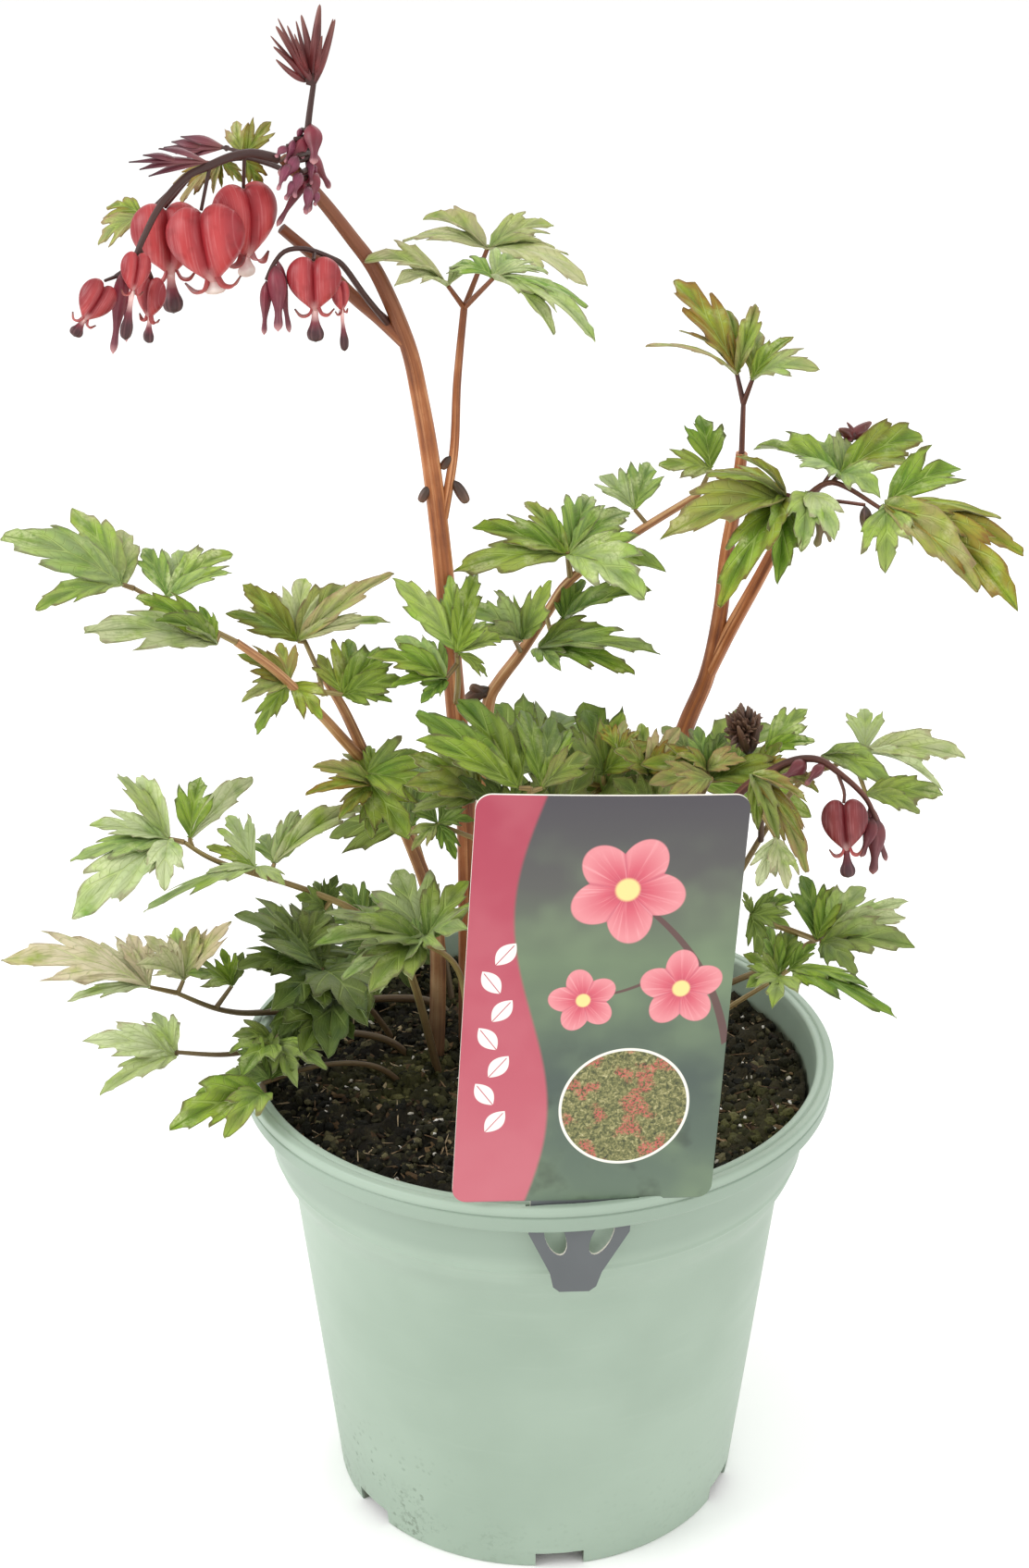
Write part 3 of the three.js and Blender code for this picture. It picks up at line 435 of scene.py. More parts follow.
def stem_finish(name, foot, shade, body, light, rough=0.5):
    """Stems. "around" goes round them and "along" gives the way from the foot, in metres."""
    f = Finish(name)
    around = f.read("around", "Fac")
    along = f.read("along", "Fac")
    place = f.place()
    x, y = f.math("COSINE", around), f.math("SINE", around)
    streak = f.noise(f.joined(x, y, along * 14.0), 1.5, 3.0)
    fine = f.noise(f.joined(x * 3.0, y * 3.0, along * 90.0), 4.0, 3.0)
    patch = f.noise(place, 60.0, 3.0)
    speck = f.noise(place, 1600.0, 2.0)
    height = f.split(place)[2]
    colour = f.layered(
        f.ramp(streak + (patch - 0.5) * 0.5, [(0.32, shade), (0.52, body), (0.74, light)]),
        (f.step(fine, 0.55, 0.8) * 0.3, light),
        (f.step(speck, 0.6, 0.74) * 0.3, shade),
        (f.step(height + (patch - 0.5) * 0.03, 0.182, 0.132) * 0.88, foot),
        (f.step(height, 0.325, 0.358) * 0.85, shade),
    )
    relief = f.math("COSINE", around * TUBE_RIBS) * 0.2 + fine * 0.4 + speck * 0.15
    return f.set(
        base_color=colour,
        roughness=rough + (fine - 0.5) * 0.2,
        normal=f.bump(relief, 0.0002, 0.5),
    )


def petal_finish():
    """Flowers and buds. "tint" is their own colour and "petal" is across, along and a share of veining."""
    f = Finish("petal")
    across, along, veining = f.split(f.read("petal"))
    tint = f.read("tint", "Color")
    place = f.place()
    blotch = f.noise(place, 260.0, 3.0)
    streak = f.noise(f.joined(across * 14.0, along * 1.2, veining), 1.0, 3.0, 0.6)
    line = f.step(streak, 0.5, 0.66) * veining
    colour = f.mix(line * 0.22, tint, f.mix(0.55, tint, (244, 176, 176)))
    shaded = f.mix(1.0, colour, (200, 120, 130), "MULTIPLY")
    colour = f.mix(f.step(blotch, 0.5, 0.3) * 0.35, colour, shaded)
    relief = streak * 0.6 + f.noise(place, 2400.0, 2.0) * 0.2
    return f.set(
        base_color=colour,
        roughness=0.36 + blotch * 0.18,
        normal=f.bump(relief, 0.0002, 0.45),
    )


def pot_dirt(f, place, grain):
    """Specks of dirt and scuffs low down on the pot, most of them at its left: each 1 where it is dirty."""
    x, y, z = f.split(place)
    left = f.step(x, 0.0, -0.035)
    patch = f.step(f.noise(place, 30.0, 2.0), 0.42, 0.56)
    dots = f.step(f.cells(place, 330.0) + (grain - 0.5) * 0.25, 0.3, 0.12)
    dirt = dots * patch * (0.15 + 0.85 * left) * f.step(z, 0.045, 0.004)
    scuff = f.step(f.noise(place, 420.0, 5.0, 0.75), 0.5, 0.6) * f.step(f.noise(place, 70.0, 2.0), 0.4, 0.6)
    return dirt, scuff * f.step(z, 0.026, 0.002) * (0.1 + 0.6 * left)


def pot_inside(f, place):
    """1 on the inner face of the pot's wall and collar, below the brim."""
    x, y, z = f.split(place)
    collar = f.both(0.0757 + (z - 0.112) * 0.2, 0.0703 + (z - 0.101) * 0.49)
    middle = f.either(0.0587 + z * 0.115, collar)
    away = f.math("SQRT", x * x + y * y)
    return f.step(away - middle, 0.0003, -0.0003) * f.step(z, 0.1295, 0.127)


def pot_finish():
    """Moulded plastic, with faint mould lines round it, scuffs, a few specks of dirt low down, and painted
    shade over its collar and lip.
    """
    f = Finish("pot_plastic")
    place = f.place()
    x, y, z = f.split(place)
    cloud = f.noise(place, 14.0, 4.0)
    grain = f.noise(place, 1500.0, 2.0)
    turn = f.math("ARCTAN2", y, x)
    drag = f.noise(f.joined(turn * 1.4, z * 260.0, 0.0), 1.0, 4.0, 0.6)
    dirt, smear = pot_dirt(f, place, grain)
    # Painted shade over the collar and the lip, below the lip's top.
    brim = f.step(z, 0.1135, 0.1185) * f.step(z, 0.1365, 0.1345)
    colour = f.layered(
        f.mix(f.step(cloud, 0.3, 0.7), (145, 163, 146), (157, 175, 158)),
        (f.step(drag, 0.55, 0.8) * 0.2, (172, 188, 172)),
        (f.either(dirt * 0.7, smear), (100, 112, 96)),
        (brim * 0.55, (132, 150, 134)),
        (pot_inside(f, place) * 0.6, (88, 80, 58)),
    )
    relief = grain * 0.5 + drag * 0.5 + f.math("SINE", z * 9000.0) * 0.06
    return f.set(
        base_color=colour,
        roughness=0.36 + drag * 0.14 + dirt * 0.3,
        normal=f.bump(relief, 0.0001, 0.35),
    )


def mossy(f, place, shade, dark, light):
    """A coat of faint mossy patches."""
    return f.step(f.noise(place, 34.0, 2.0), 0.48, 0.64) * MOSS, f.mix(shade, dark, light)


def soil_finish(name, deep, body, light):
    """Damp soil, lighter towards its right side: painted light there, with the left in the leaves' painted
    shade.
    """
    f = Finish(name, specular_ior_level=0.2)
    place = f.place()
    clod = f.noise(place, 130.0, 5.0, 0.7)
    crumb = f.cells(place, 620.0)
    dust = f.noise(place, 1900.0, 3.0, 0.7)
    # dry is painted light: the soil lightens towards its right side, away from the leaves' shade.
    dry = f.step(f.split(place)[0] + (clod - 0.5) * 0.06, 0.015, 0.05)
    colour = f.layered(
        f.ramp(clod, [(0.3, deep), (0.55, body), (0.78, light)]),
        (f.step(dust, 0.6, 0.76) * 0.6, light),
        # Painted shade in the hollows between crumbs.
        (f.step(crumb, 0.5, 0.75) * 0.6, deep),
        mossy(f, place, dust, (44, 46, 22), (92, 92, 46)),
        (dry * 0.55, f.mix(dust, body, light)),
    )
    relief = f.noise(place, 500.0, 5.0, 0.75) - crumb * 0.5
    return f.set(base_color=colour, roughness=0.8 + dust * 0.15, normal=f.bump(relief, 0.0014, 0.9))


def grain_finish(name, stops, has_moss):
    """Loose grains: each has a shade of its own, from "grain", and a dusty surface."""
    f = Finish(name, specular_ior_level=0.2)
    place = f.place()
    own = f.read("grain", "Fac")
    dust = f.noise(place, 1500.0, 3.0, 0.65)
    colour = f.ramp(own, stops)
    if has_moss:
        colour = f.layered(colour, mossy(f, place, own, (34, 36, 16), (108, 108, 58)))
    dusty = f.mix(1.0, colour, (120, 108, 92), "MULTIPLY")
    return f.set(
        base_color=f.mix(f.step(dust, 0.42, 0.72) * 0.5, colour, dusty),
        roughness=0.8 + (dust - 0.5) * 0.2,
        normal=f.bump(dust, 0.0006, 0.6),
    )


def floor_finish():
    f = Finish("studio_floor", roughness=0.7, specular_ior_level=0.2)
    haze = f.noise(f.place(), 3.0, 2.0)
    return f.set(base_color=f.mix(haze, (252, 252, 251), (254, 254, 253)))


# ---- stems: tubes along their routes ----

ROUTE_STEPS = 8
TUBE_RIBS = 7
STALK_SIDES = 12
STALK_STEP = 1.6
STALKLET_FOOT = 0.8
STALKLET_TIP = 0.6
STALKLET_SHORTEST = 0.75


def stem_tree():
    """Geometry nodes: a smooth round tube along each route, as thick as its points say."""
    g, (routes, sides, step, ribs, finish) = open_tree(
        "stems_along_routes", Geometry="Geometry", Sides="Int", Step="Float", Ribs="Float", Finish="Material"
    )
    curve = g.wire("GeometryNodeMeshToCurve", 0, None, {"Mesh": routes})
    curve = g.wire("GeometryNodeCurveSplineType", 0, {"spline_type": "CATMULL_ROM"}, {"Curve": curve})
    fine = {"Geometry": curve, "Resolution": ROUTE_STEPS}
    curve = g.wire("GeometryNodeSetSplineResolution", 0, None, fine)
    curve = g.wire("GeometryNodeResampleCurve", 0, {"mode": "LENGTH"}, {"Curve": curve, "Length": step})
    curve = g.stored(curve, "along", g.wire("GeometryNodeSplineParameter", "Length"))
    circle = {"Resolution": sides, "Radius": 1.0}
    ring = g.wire("GeometryNodeCurvePrimitiveCircle", 0, {"mode": "RADIUS"}, circle)
    turn = g.wire("GeometryNodeSplineParameter", "Factor") * math.tau
    swell = 1 + g.math("COSINE", turn * TUBE_RIBS) * ribs
    place = g.scaled(g.wire("GeometryNodeInputPosition"), swell)
    ring = g.wire("GeometryNodeSetPosition", 0, None, {"Geometry": ring, "Position": place})
    ring = g.stored(ring, "around", turn)
    thick = g.wire("GeometryNodeInputNamedAttribute", 0, {"data_type": "FLOAT"}, {"Name": "thick"})
    sweep = {"Curve": curve, "Profile Curve": ring, "Scale": thick, "Fill Caps": True}
    g.close(g.wire("GeometryNodeCurveToMesh", 0, None, sweep), finish)
    return g.tree


def stem(points, foot_radius, tip_radius):
    return np.array(points, float), foot_radius, tip_radius


def stem_piece(name, stems, material, sides=STALK_SIDES, step=STALK_STEP, ribs=0.0):
    """All stems of one node as one mesh of tubes, each thinning from its foot to its tip."""
    points, edges, thick = [], [], []
    for route, foot, tip in stems:
        start = len(points)
        last = len(route) - 1
        points.extend((route * MM).tolist())
        edges.extend((start + i, start + i + 1) for i in range(last))
        thick.extend((foot + (tip - foot) * i / last) * MM for i in range(last + 1))
    mesh = bpy.data.meshes.new(name)
    mesh.from_pydata(points, edges, [])
    mesh.attributes.new("thick", "FLOAT", "POINT").data.foreach_set("value", thick)
    piece = placed(name, mesh)
    grow(piece, STEM_TREE, sides=sides, step=step * MM, ribs=ribs, finish=material)
    soften(piece, SMOOTH_EDGE)
    return piece


def nearest_on(stems, place):
    """The point of the stems that is nearest to a place."""
    found = []
    for route, _, _ in stems:
        for a, b in zip(route, route[1:]):
            along = np.clip(np.dot(place - a, b - a) / np.dot(b - a, b - a), 0, 1)
            found.append(a + (b - a) * along)
    return min(found, key=lambda point: np.linalg.norm(point - place))


def stalklets(stems, places):
    """A short stalk to each place that no stem reaches."""
    made = []
    for place in places:
        start = nearest_on(stems, place)
        if np.linalg.norm(start - place) > STALKLET_SHORTEST:
            made.append(stem([start, place], STALKLET_FOOT, STALKLET_TIP))
    return made


# ---- leaflets ----

# Leaflets that one row spreads round its tip: how each is turned, in degrees, and its share of the length.
ONE = [(0, 1)]
PAIR = [(-24, 1), (30, 0.9)]
TRIO = [(-58, 0.8), (0, 1), (58, 0.8)]

BLADE_TILT = 35
BLADE_ARCH = 0.09
BLADE_HALF = 0.24
EDGE_THINNING = 0.4
RIB_KEEL = 0.3
RIB_BREADTH = 0.07
RIB_END = 0.15
VEIN_DIP = 0.012
VEIN_DIP_END = 1.15
RIPPLE = 0.014
RIPPLE_PACE = 5
TOOTH_ALONG, TOOTH_ASIDE = 0.03, 0.08
HUB_CORNER = 1.1
OPEN_TURN = math.radians(150)
OPEN_CORNER_TURN = math.radians(60)
LOBE_SLOPE = 0.54 / 0.62
SECTOR_FILL = 1.5
WIDEST_SECTOR = math.pi * 0.7
LEAST_ROOM = math.radians(11)
MOST_ROOM = math.radians(63)
SPREAD = 1.06
SHARED_TURN = 0.4

# Half of a leaflet's edge: share of its length, share of its width, where its line leaves the rib, and
# the count of side veins. An edge is smooth within a run, and pointed or notched where two runs meet.
EDGE_RUNS = [
    [(0.00, 0.00, 0.00, -0.50), (0.09, 0.10, 0.01, -0.20), (0.21, 0.23, 0.03, 0.15),
     (0.36, 0.39, 0.06, 0.50), (0.49, 0.50, 0.09, 0.75), (0.60, 0.58, 0.11, 1.00)],
    [(0.60, 0.58, 0.11, 1.00), (0.615, 0.54, 0.12, 1.25), (0.635, 0.505, 0.135, 1.50)],
    [(0.635, 0.505, 0.135, 1.50), (0.72, 0.56, 0.16, 1.75), (0.83, 0.555, 0.19, 2.00)],
    [(0.83, 0.555, 0.19, 2.00), (0.765, 0.435, 0.21, 2.15), (0.67, 0.29, 0.24, 2.30),
     (0.53, 0.125, 0.31, 2.50)],
    [(0.53, 0.125, 0.31, 2.50), (0.64, 0.20, 0.42, 2.75), (0.78, 0.235, 0.53, 3.00)],
    [(0.78, 0.235, 0.53, 3.00), (0.805, 0.205, 0.58, 3.30), (0.83, 0.175, 0.63, 3.50)],
    [(0.83, 0.175, 0.63, 3.50), (0.93, 0.115, 0.80, 3.75), (1.00, 0.00, 1.00, 4.00)],
]
FREE_KEYS = (-0.5, 4.0)
SINUS = 2.5
SMALL_NOTCHES = (1.5, 3.5)
RUN_STEPS = 2
WAYS_OUT = np.array([0, 0.08, 0.28, 0.56, 0.83, 1.0])
VEINS = 4
SLIM_SHARE, BROAD_SHARE = 0.2, 0.5
LEAST_CUT = 0.3
CUT_RANGE = (0.6, 1.0)
TONE_SPREAD = np.array([0.14, 0.24, 0.2])


def leaflets(hub, row, tilt):
    """The leaflets of a row, each with its direction, length, width and, where it has one, its own tone."""
    share, own = row[3] / 100, row[4:]
    pattern, tone = (own[0], ()) if len(own) == 1 else (ONE, own)
    axis = np.array(row[:3], float) - hub
    length = np.linalg.norm(axis)
    axis = axis / length
    up = np.array([0, -math.sin(tilt), math.cos(tilt)])
    face = unit(up - axis * np.dot(up, axis))
    return [
        {
            "face": face,
            "along": turned(axis, face, turn),
            "length": length * reach,
            "width": length * reach * share,
            "tone": tone,
        }
        for turn, reach in pattern
    ]


def set_room(blade, following):
    """The turn from a leaflet to the next one round the hub, and the corner that both share at its foot."""
    turn = following["azimuth"] - blade["azimuth"]
    if turn <= 0:
        turn += math.tau
    blade["turn_after"] = following["turn_before"] = turn
    corner = OPEN_CORNER_TURN if turn > OPEN_TURN else turn / 2
    blade["corner_after"] = following["corner_before"] = corner


def rosette(blades):
    """The leaflets round one hub, each kept within its own sector and turned partly to its own way."""
    face = unit(sum(blade["face"] for blade in blades))
    first = blades[0]
    for blade in blades:
        blade["out"] = unit(blade["along"] - face * np.dot(blade["along"], face))
        ahead = np.dot(blade["out"], first["out"])
        blade["azimuth"] = math.atan2(np.dot(blade["out"], np.cross(face, first["out"])), ahead)
        own = face * SHARED_TURN + blade["face"] * (1 - SHARED_TURN)
        blade["face"] = unit(own - blade["along"] * np.dot(own, blade["along"]))
        blade["across"] = np.cross(blade["face"], blade["along"])
    blades.sort(key=lambda blade: blade["azimuth"])
    for blade, following in zip(blades, blades[1:] + blades[:1]):
        set_room(blade, following)
    for blade in blades:
        room = SECTOR_FILL * min(blade["turn_after"], blade["turn_before"], WIDEST_SECTOR) / 2
        widest = blade["length"] * math.tan(max(min(room, MOST_ROOM), LEAST_ROOM)) / LOBE_SLOPE
        blade["width"] = min(blade["width"], widest) * SPREAD


def plain_place(vein):
    """The place on an uncut blade's edge, an oval with shallow teeth, that a side vein runs to."""
    way = (vein + 0.5) / (VEINS + 0.5)
    tooth = math.cos(math.tau * vein) * math.sin(math.pi * way)
    along = (1 - math.cos(math.pi * way)) / 2 + TOOTH_ALONG * tooth
    return np.array([along, 0.5 * math.sin(math.pi * way) * (1 + TOOTH_ASIDE * tooth)])


def key_shift(rng, vein):
    """How far one key of an edge strays. The deep cut between two lobes strays most."""
    shift = np.array([rng.uniform(-0.035, 0.035), rng.uniform(-0.03, 0.03)])
    if vein == SINUS:
        shift = np.array([1.0, 0.6]) * rng.uniform(-0.07, 0.09)
    if vein in SMALL_NOTCHES:
        shift = np.array([0.3, 1.0]) * rng.uniform(-0.02, 0.04)
    return shift


def cut_edge(rng, cut):
    """One side's edge, a little different each time: between uncut and deeply lobed."""
    shifts = {}
    rows = []
    for index, run in enumerate(EDGE_RUNS):
        keys = []
        for u, v, foot, vein in run:
            if vein not in shifts:
                shifts[vein] = key_shift(rng, vein)
            loose = 0.0 if vein in FREE_KEYS else 1.0
            place = np.array([u, v]) * cut + plain_place(vein) * (1 - cut) + loose * shifts[vein]
            keys.append((*place, foot, vein))
        made = smooth_run(keys, RUN_STEPS)
        rows.extend(made if index == 0 else made[1:])
    return np.array(rows)


def half_blade(hub, blade, edge, mirror, bend):
    """One side of a leaflet's middle surface, from its rib out to its edge, with its veins and ways out."""
    curl, droop, fold, roll, twist, sway, phase = bend
    length, width = blade["length"], blade["width"]
    u = edge[:, 2:3] + WAYS_OUT * (edge[:, 0:1] - edge[:, 2:3])
    v = WAYS_OUT * edge[:, 1:2]
    veins = edge[:, 3:4] + 0 * u
    out = WAYS_OUT + 0 * u
    hold = np.clip(3 * u, 0, 1)
    rise = BLADE_ARCH * np.sin(math.pi * np.clip(u, 0, 1)) + fold * v
    rise -= curl * u**3 + droop * v**2 - mirror * (twist * u + roll) * v
    rise -= VEIN_DIP * hold * np.cos(math.tau * veins) * out * (VEIN_DIP_END - out)
    rise += RIPPLE * hold * np.sin(RIPPLE_PACE * veins + phase + mirror) * out**2
    place = hub + blade["along"] * (u * length)[..., None]
    place = place + blade["across"] * (mirror * v * width + sway * length * u**2)[..., None]
    return place + blade["face"] * (rise * length)[..., None], veins, out


# The ranges of a leaflet's curl, droop, fold, roll, twist, sway and the phase of its ripples.
BENDS = [(0.02, 0.16), (0.05, 0.4), (0.06, 0.34), (-0.1, 0.16), (-0.22, 0.22), (-0.08, 0.08), (0, math.tau)]


def blade_points(hub, blade, rng):
    """The middle surface of a leaflet: rows along its edges, columns from edge over rib to edge."""
    bend = [rng.uniform(*limits) for limits in BENDS]
    broad = (blade["width"] / blade["length"] - SLIM_SHARE) / (BROAD_SHARE - SLIM_SHARE)
    cut = max(LEAST_CUT, min(broad, 1.0) * rng.uniform(*CUT_RANGE))
    halves = []
    for mirror, corner in ((-1, blade["corner_before"]), (1, blade["corner_after"])):
        edge = cut_edge(rng, cut)
        edge[0, 0] = HUB_CORNER * math.cos(corner) / blade["length"]
        edge[0, 1] = HUB_CORNER * math.sin(corner) / blade["width"]
        halves.append(half_blade(hub, blade, edge, mirror, bend))
    return [np.concatenate([left[:, :0:-1], right], axis=1) for left, right in zip(*halves)]


def add_leaflet(shape, hub, blade, tone, rng):
    middle, veins, out = blade_points(hub, blade, rng)
    rows, columns = veins.shape
    half = BLADE_HALF * (1 - EDGE_THINNING * out**3)
    keel = RIB_KEEL * np.exp(-((out / RIB_BREADTH) ** 2)) * np.linspace(1, RIB_END, rows)[:, None]
    top = middle + blade["face"] * half[..., None]
    low = middle - blade["face"] * (half + keel)[..., None]
    count = rows * columns
    spots = np.column_stack([np.tile(veins.ravel(), 2), np.tile(out.ravel(), 2), np.repeat([1, -1], count)])
    tones = np.clip(np.array(tone) / 100 + rng.uniform(-1, 1, 3) * TONE_SPREAD, 0, 1)
    points = np.concatenate([top.reshape(-1, 3), low.reshape(-1, 3)])
    shape.add(points, sheet_faces(rows, columns, [0]), blade=spots, tone=np.tile(tones, (2 * count, 1)))


# Leaves whose blades lean less towards the front than the others, in degrees.
LEAF_TILTS = {"leaf_tall": 10, "leaf_bronze": 22, "leaf_low_left_b": 18, "leaf_right_far": 20}

STALK_SLIMNESS = 0.74
STALK_LEAST = 0.6
DARK_STALKS = ("leaf_bronze", "leaf_flower_stalk", "leaf_right")
WARM_STALKS = ("leaf_tall",)


def rng_for(name):
    """Random numbers of the piece's own, the same each time."""
    return np.random.default_rng(sum((i + 1) * ord(letter) for i, letter in enumerate(name)))


def plant_leaf(name, tone, stems, hubs):
    """A leaf: its stalks, and round each of its hubs the leaflets that the hub's rows give."""
    rng = rng_for(name)
    tilt = math.radians(LEAF_TILTS.get(name, BLADE_TILT))
    shape = Shape()
    places = [np.array(hub, float) for hub in hubs]
    for hub, rows in zip(places, hubs.values()):
        blades = [blade for row in rows for blade in leaflets(hub, row, tilt)]
        rosette(blades)
        for blade in blades:
            add_leaflet(shape, hub, blade, blade["tone"] or tone, rng)
    fit(shape.piece(name + "_leaflets", LEAF_FINISH, SHELL_EDGE), name)
    slim = [(route, foot * STALK_SLIMNESS, max(tip * STALK_SLIMNESS, STALK_LEAST))
            for route, foot, tip in stems]
    finish = RACHIS_FINISH if name in DARK_STALKS else SHOOT_FINISH if name in WARM_STALKS else STALK_FINISH
    fit(stem_piece(name + "_stalks", [*slim, *stalklets(stems, places)], finish), name)


# ---- shoots ----

SHOOT_SIDES = 21
SHOOT_RIBS = 0.025
YOUNG_SHOOTS = ("shoot_left", "shoot_middle")
YOUNG_SLIMNESS = 0.88
NODE_BUD_SIDES = 10


def plant_shoot(name, stems, buds=()):
    """A shoot and the small dark buds at its nodes."""
    young = name in YOUNG_SHOOTS
    slim = YOUNG_SLIMNESS if young else 1.0
    stems = [(route, foot * slim, tip * slim) for route, foot, tip in stems]
    finish = YOUNG_FINISH if young else SHOOT_FINISH
    fit(stem_piece(name + "_stem", stems, finish, SHOOT_SIDES, STALK_STEP, SHOOT_RIBS), name)
    if buds:
        shape = Shape()
        for row in buds:
            top, bottom, width, _ = bud(row)
            add_spindle(shape, top, bottom, width, NODE_PROFILE, DRY_TINT, NODE_BUD_SIDES)
        fit(shape.piece(name + "_buds", PETAL_FINISH), name)


# ---- buds and flowers ----

# Sections of hanging pieces from their foot up: share of the width, and share of the length.
BUD_PROFILE = [(0, 0), (0.24, 0.09), (0.2, 0.3), (0.48, 0.62), (0.4, 0.84), (0, 1)]
FINGER_PROFILE = [(0, 0), (0.18, 0.06), (0.4, 0.35), (0.5, 0.7), (0.25, 0.93), (0, 1)]
DROP_PROFILE = [(0, 0), (0.4, 0.07), (0.5, 0.24), (0.3, 0.45), (0.2, 0.68), (0.26, 1), (0, 1.02)]
NODE_PROFILE = [(0, 0), (0.36, 0.08), (0.5, 0.4), (0.42, 0.75), (0.15, 0.95), (0, 1)]
PROFILE_STEPS = 4
SLIM_BUD = 3.2
BUD_SIDES = 14
BUD_FLAT = 0.72
BUD_RIBS = 0.08
RACEME_STEP = 1.2
BLOOM_GAP = 0.45

CRIMSON = (148, 26, 36)
# CORAL is the colour of the hearts' painted highlight.
CORAL = (192, 66, 66)
BLUSH = (238, 196, 190)
WINE = (104, 28, 44)
PLUM = (68, 28, 38)
BARK = (58, 28, 24)
CREAM = (246, 222, 214)


def tint(*stops):
    """A function that gives the colour at a share of the way, from rows of (share, colour as seen)."""
    shares = [share for share, _ in stops]
    colours = np.array([paint(*colour) for _, colour in stops])
    return lambda way: np.stack([np.interp(way, shares, colours[:, k]) for k in range(4)], axis=-1)


BUD_TINT = tint(
    (0, (206, 150, 150)), (0.14, (104, 40, 56)), (0.45, WINE), (0.8, (128, 40, 56)), (1, (84, 40, 44))
)
SMALL_TINT = tint((0, (190, 130, 136)), (0.16, (106, 46, 62)), (0.6, (122, 48, 74)), (1, (76, 36, 44)))
DARK_TINT = tint(
    (0, (150, 96, 92)), (0.14, (84, 34, 38)), (0.5, (92, 28, 38)), (0.8, (104, 40, 44)), (1, (58, 30, 30))
)
BROWN_TINT = tint((0, (124, 116, 70)), (0.45, (104, 90, 56)), (0.8, (64, 44, 34)), (1, (34, 26, 20)))
FINGER_TINT = tint((0, (120, 74, 64)), (0.3, (92, 38, 34)), (0.7, (112, 44, 44)), (1, (58, 26, 26)))
DRY_TINT = tint((0, (104, 78, 58)), (0.4, (74, 52, 38)), (1, (40, 30, 22)))
BRACT_TINT = tint((0, (120, 76, 68)), (0.4, (112, 48, 58)), (0.75, (92, 36, 52)), (1, (56, 28, 34)))
TIP_TINT = tint((0, (150, 36, 42)), (0.5, (178, 88, 84)), (0.85, (146, 80, 70)), (1, (86, 46, 40)))
DROP_TINT = tint((0, BARK), (0.3, (66, 26, 34)), (0.5, (120, 44, 56)), (0.72, BLUSH), (1, CREAM))
PALE_DROP_TINT = tint((0, (214, 186, 172)), (0.3, (240, 228, 220)), (0.7, BLUSH), (1, CREAM))
DARK_DROP_TINT = tint((0, BARK), (0.35, PLUM), (0.7, (112, 36, 48)), (1, (168, 84, 84)))
LOOK_TINTS = {"pink": SMALL_TINT, "dark": DARK_TINT, "brown": BROWN_TINT}


def frame_along(top, bottom):
    """The unit vectors along a piece that hangs from top to bottom: up it, and two across it."""
    up = unit(top - bottom)
    side = unit(np.cross(up, np.array([0.0, 1.0, 0.0])))
    return up, side, np.cross(side, up)


def add_spindle(shape, top, bottom, width, profile, colour, sides, flat=0.75, bend=0.0, spin=0.0, ribs=0.06):
    """A hanging round piece, smooth along its profile, a little flattened, ribbed and bent."""
    up, side, front = frame_along(top, bottom)
    across = turned(side, up, spin)
    depth = turned(front, up, spin)
    rows = smooth_run(profile, PROFILE_STEPS)
    radius = np.clip(rows[:, 0], 0, None) * width
    way = np.clip(rows[:, 1], 0, None)
    angle = round_angles(sides)
    ring = 1 + ribs * np.cos(4 * angle)
    middle = bottom + up * (way * np.linalg.norm(top - bottom))[:, None]
    middle = middle + across * (bend * np.sin(math.pi * np.clip(way, 0, 1)))[:, None]
    x = radius[:, None] * np.cos(angle) * ring
    y = radius[:, None] * np.sin(angle) * ring * flat
    points = middle[:, None] + across * x[..., None] + depth * y[..., None]
    shares = np.repeat(way, sides)
    petal = np.column_stack([np.tile(angle / math.tau, len(way)), shares, np.full(len(shares), 0.6)])
    shape.add(points, grid_faces(len(rows), sides, 0, True), petal=petal, tint=colour(shares))


RIBBON_STEPS = 5
RIBBON_COLUMNS = 7
RIBBON_THICK = 0.22
RIBBON_CUP = 0.3
RIBBON_VEINING = 0.8


def add_ribbon(shape, route, widths, across, colour):
    """A thin petal or bract along a route, cupped across and closed all round."""
    route = smooth_run(route, RIBBON_STEPS)
    widths = smooth_run(np.array(widths, float)[:, None], RIBBON_STEPS)[:, 0]
    tangent = np.gradient(route, axis=0)
    columns = np.linspace(-1, 1, RIBBON_COLUMNS)
    arch = 1 - columns**2
    place, skin = [], []
    for point, along, half in zip(route, tangent, widths):
        side = unit(across - unit(along) * np.dot(across, unit(along)))
        normal = np.cross(unit(along), side)
        cup = -RIBBON_CUP * half * arch
        place.append(point + side * (columns * half)[:, None] + normal * cup[:, None])
        skin.append(normal * RIBBON_THICK * (0.35 + 0.65 * arch)[:, None])
    place, skin = np.array(place), np.array(skin)
    rows = len(route)
    count = rows * RIBBON_COLUMNS
    way = np.repeat(np.linspace(0, 1, rows), RIBBON_COLUMNS)
    petal = np.column_stack([np.tile(columns, rows), way, np.full(count, RIBBON_VEINING)])
    points = np.concatenate([(place + skin).reshape(-1, 3), (place - skin).reshape(-1, 3)])
    faces = sheet_faces(rows, RIBBON_COLUMNS, [0, rows - 1])
    shape.add(points, faces, petal=np.tile(petal, (2, 1)), tint=np.tile(colour(way), (2, 1)))


def bud(row):
    """A row's top, foot and width, and the word for its look where that is not the usual one."""
    return np.array(row[:3], float), np.array(row[3:6], float), row[6], row[7] if len(row) > 7 else None


# The lobes of a bract: its turn in degrees, where it starts down the bract, and its share of the length.
BRACT_LOBES = [(0, 0.0, 1.0), (17, 0.05, 0.66), (-17, 0.05, 0.7), (11, 0.34, 0.52), (-11, 0.3, 0.56)]


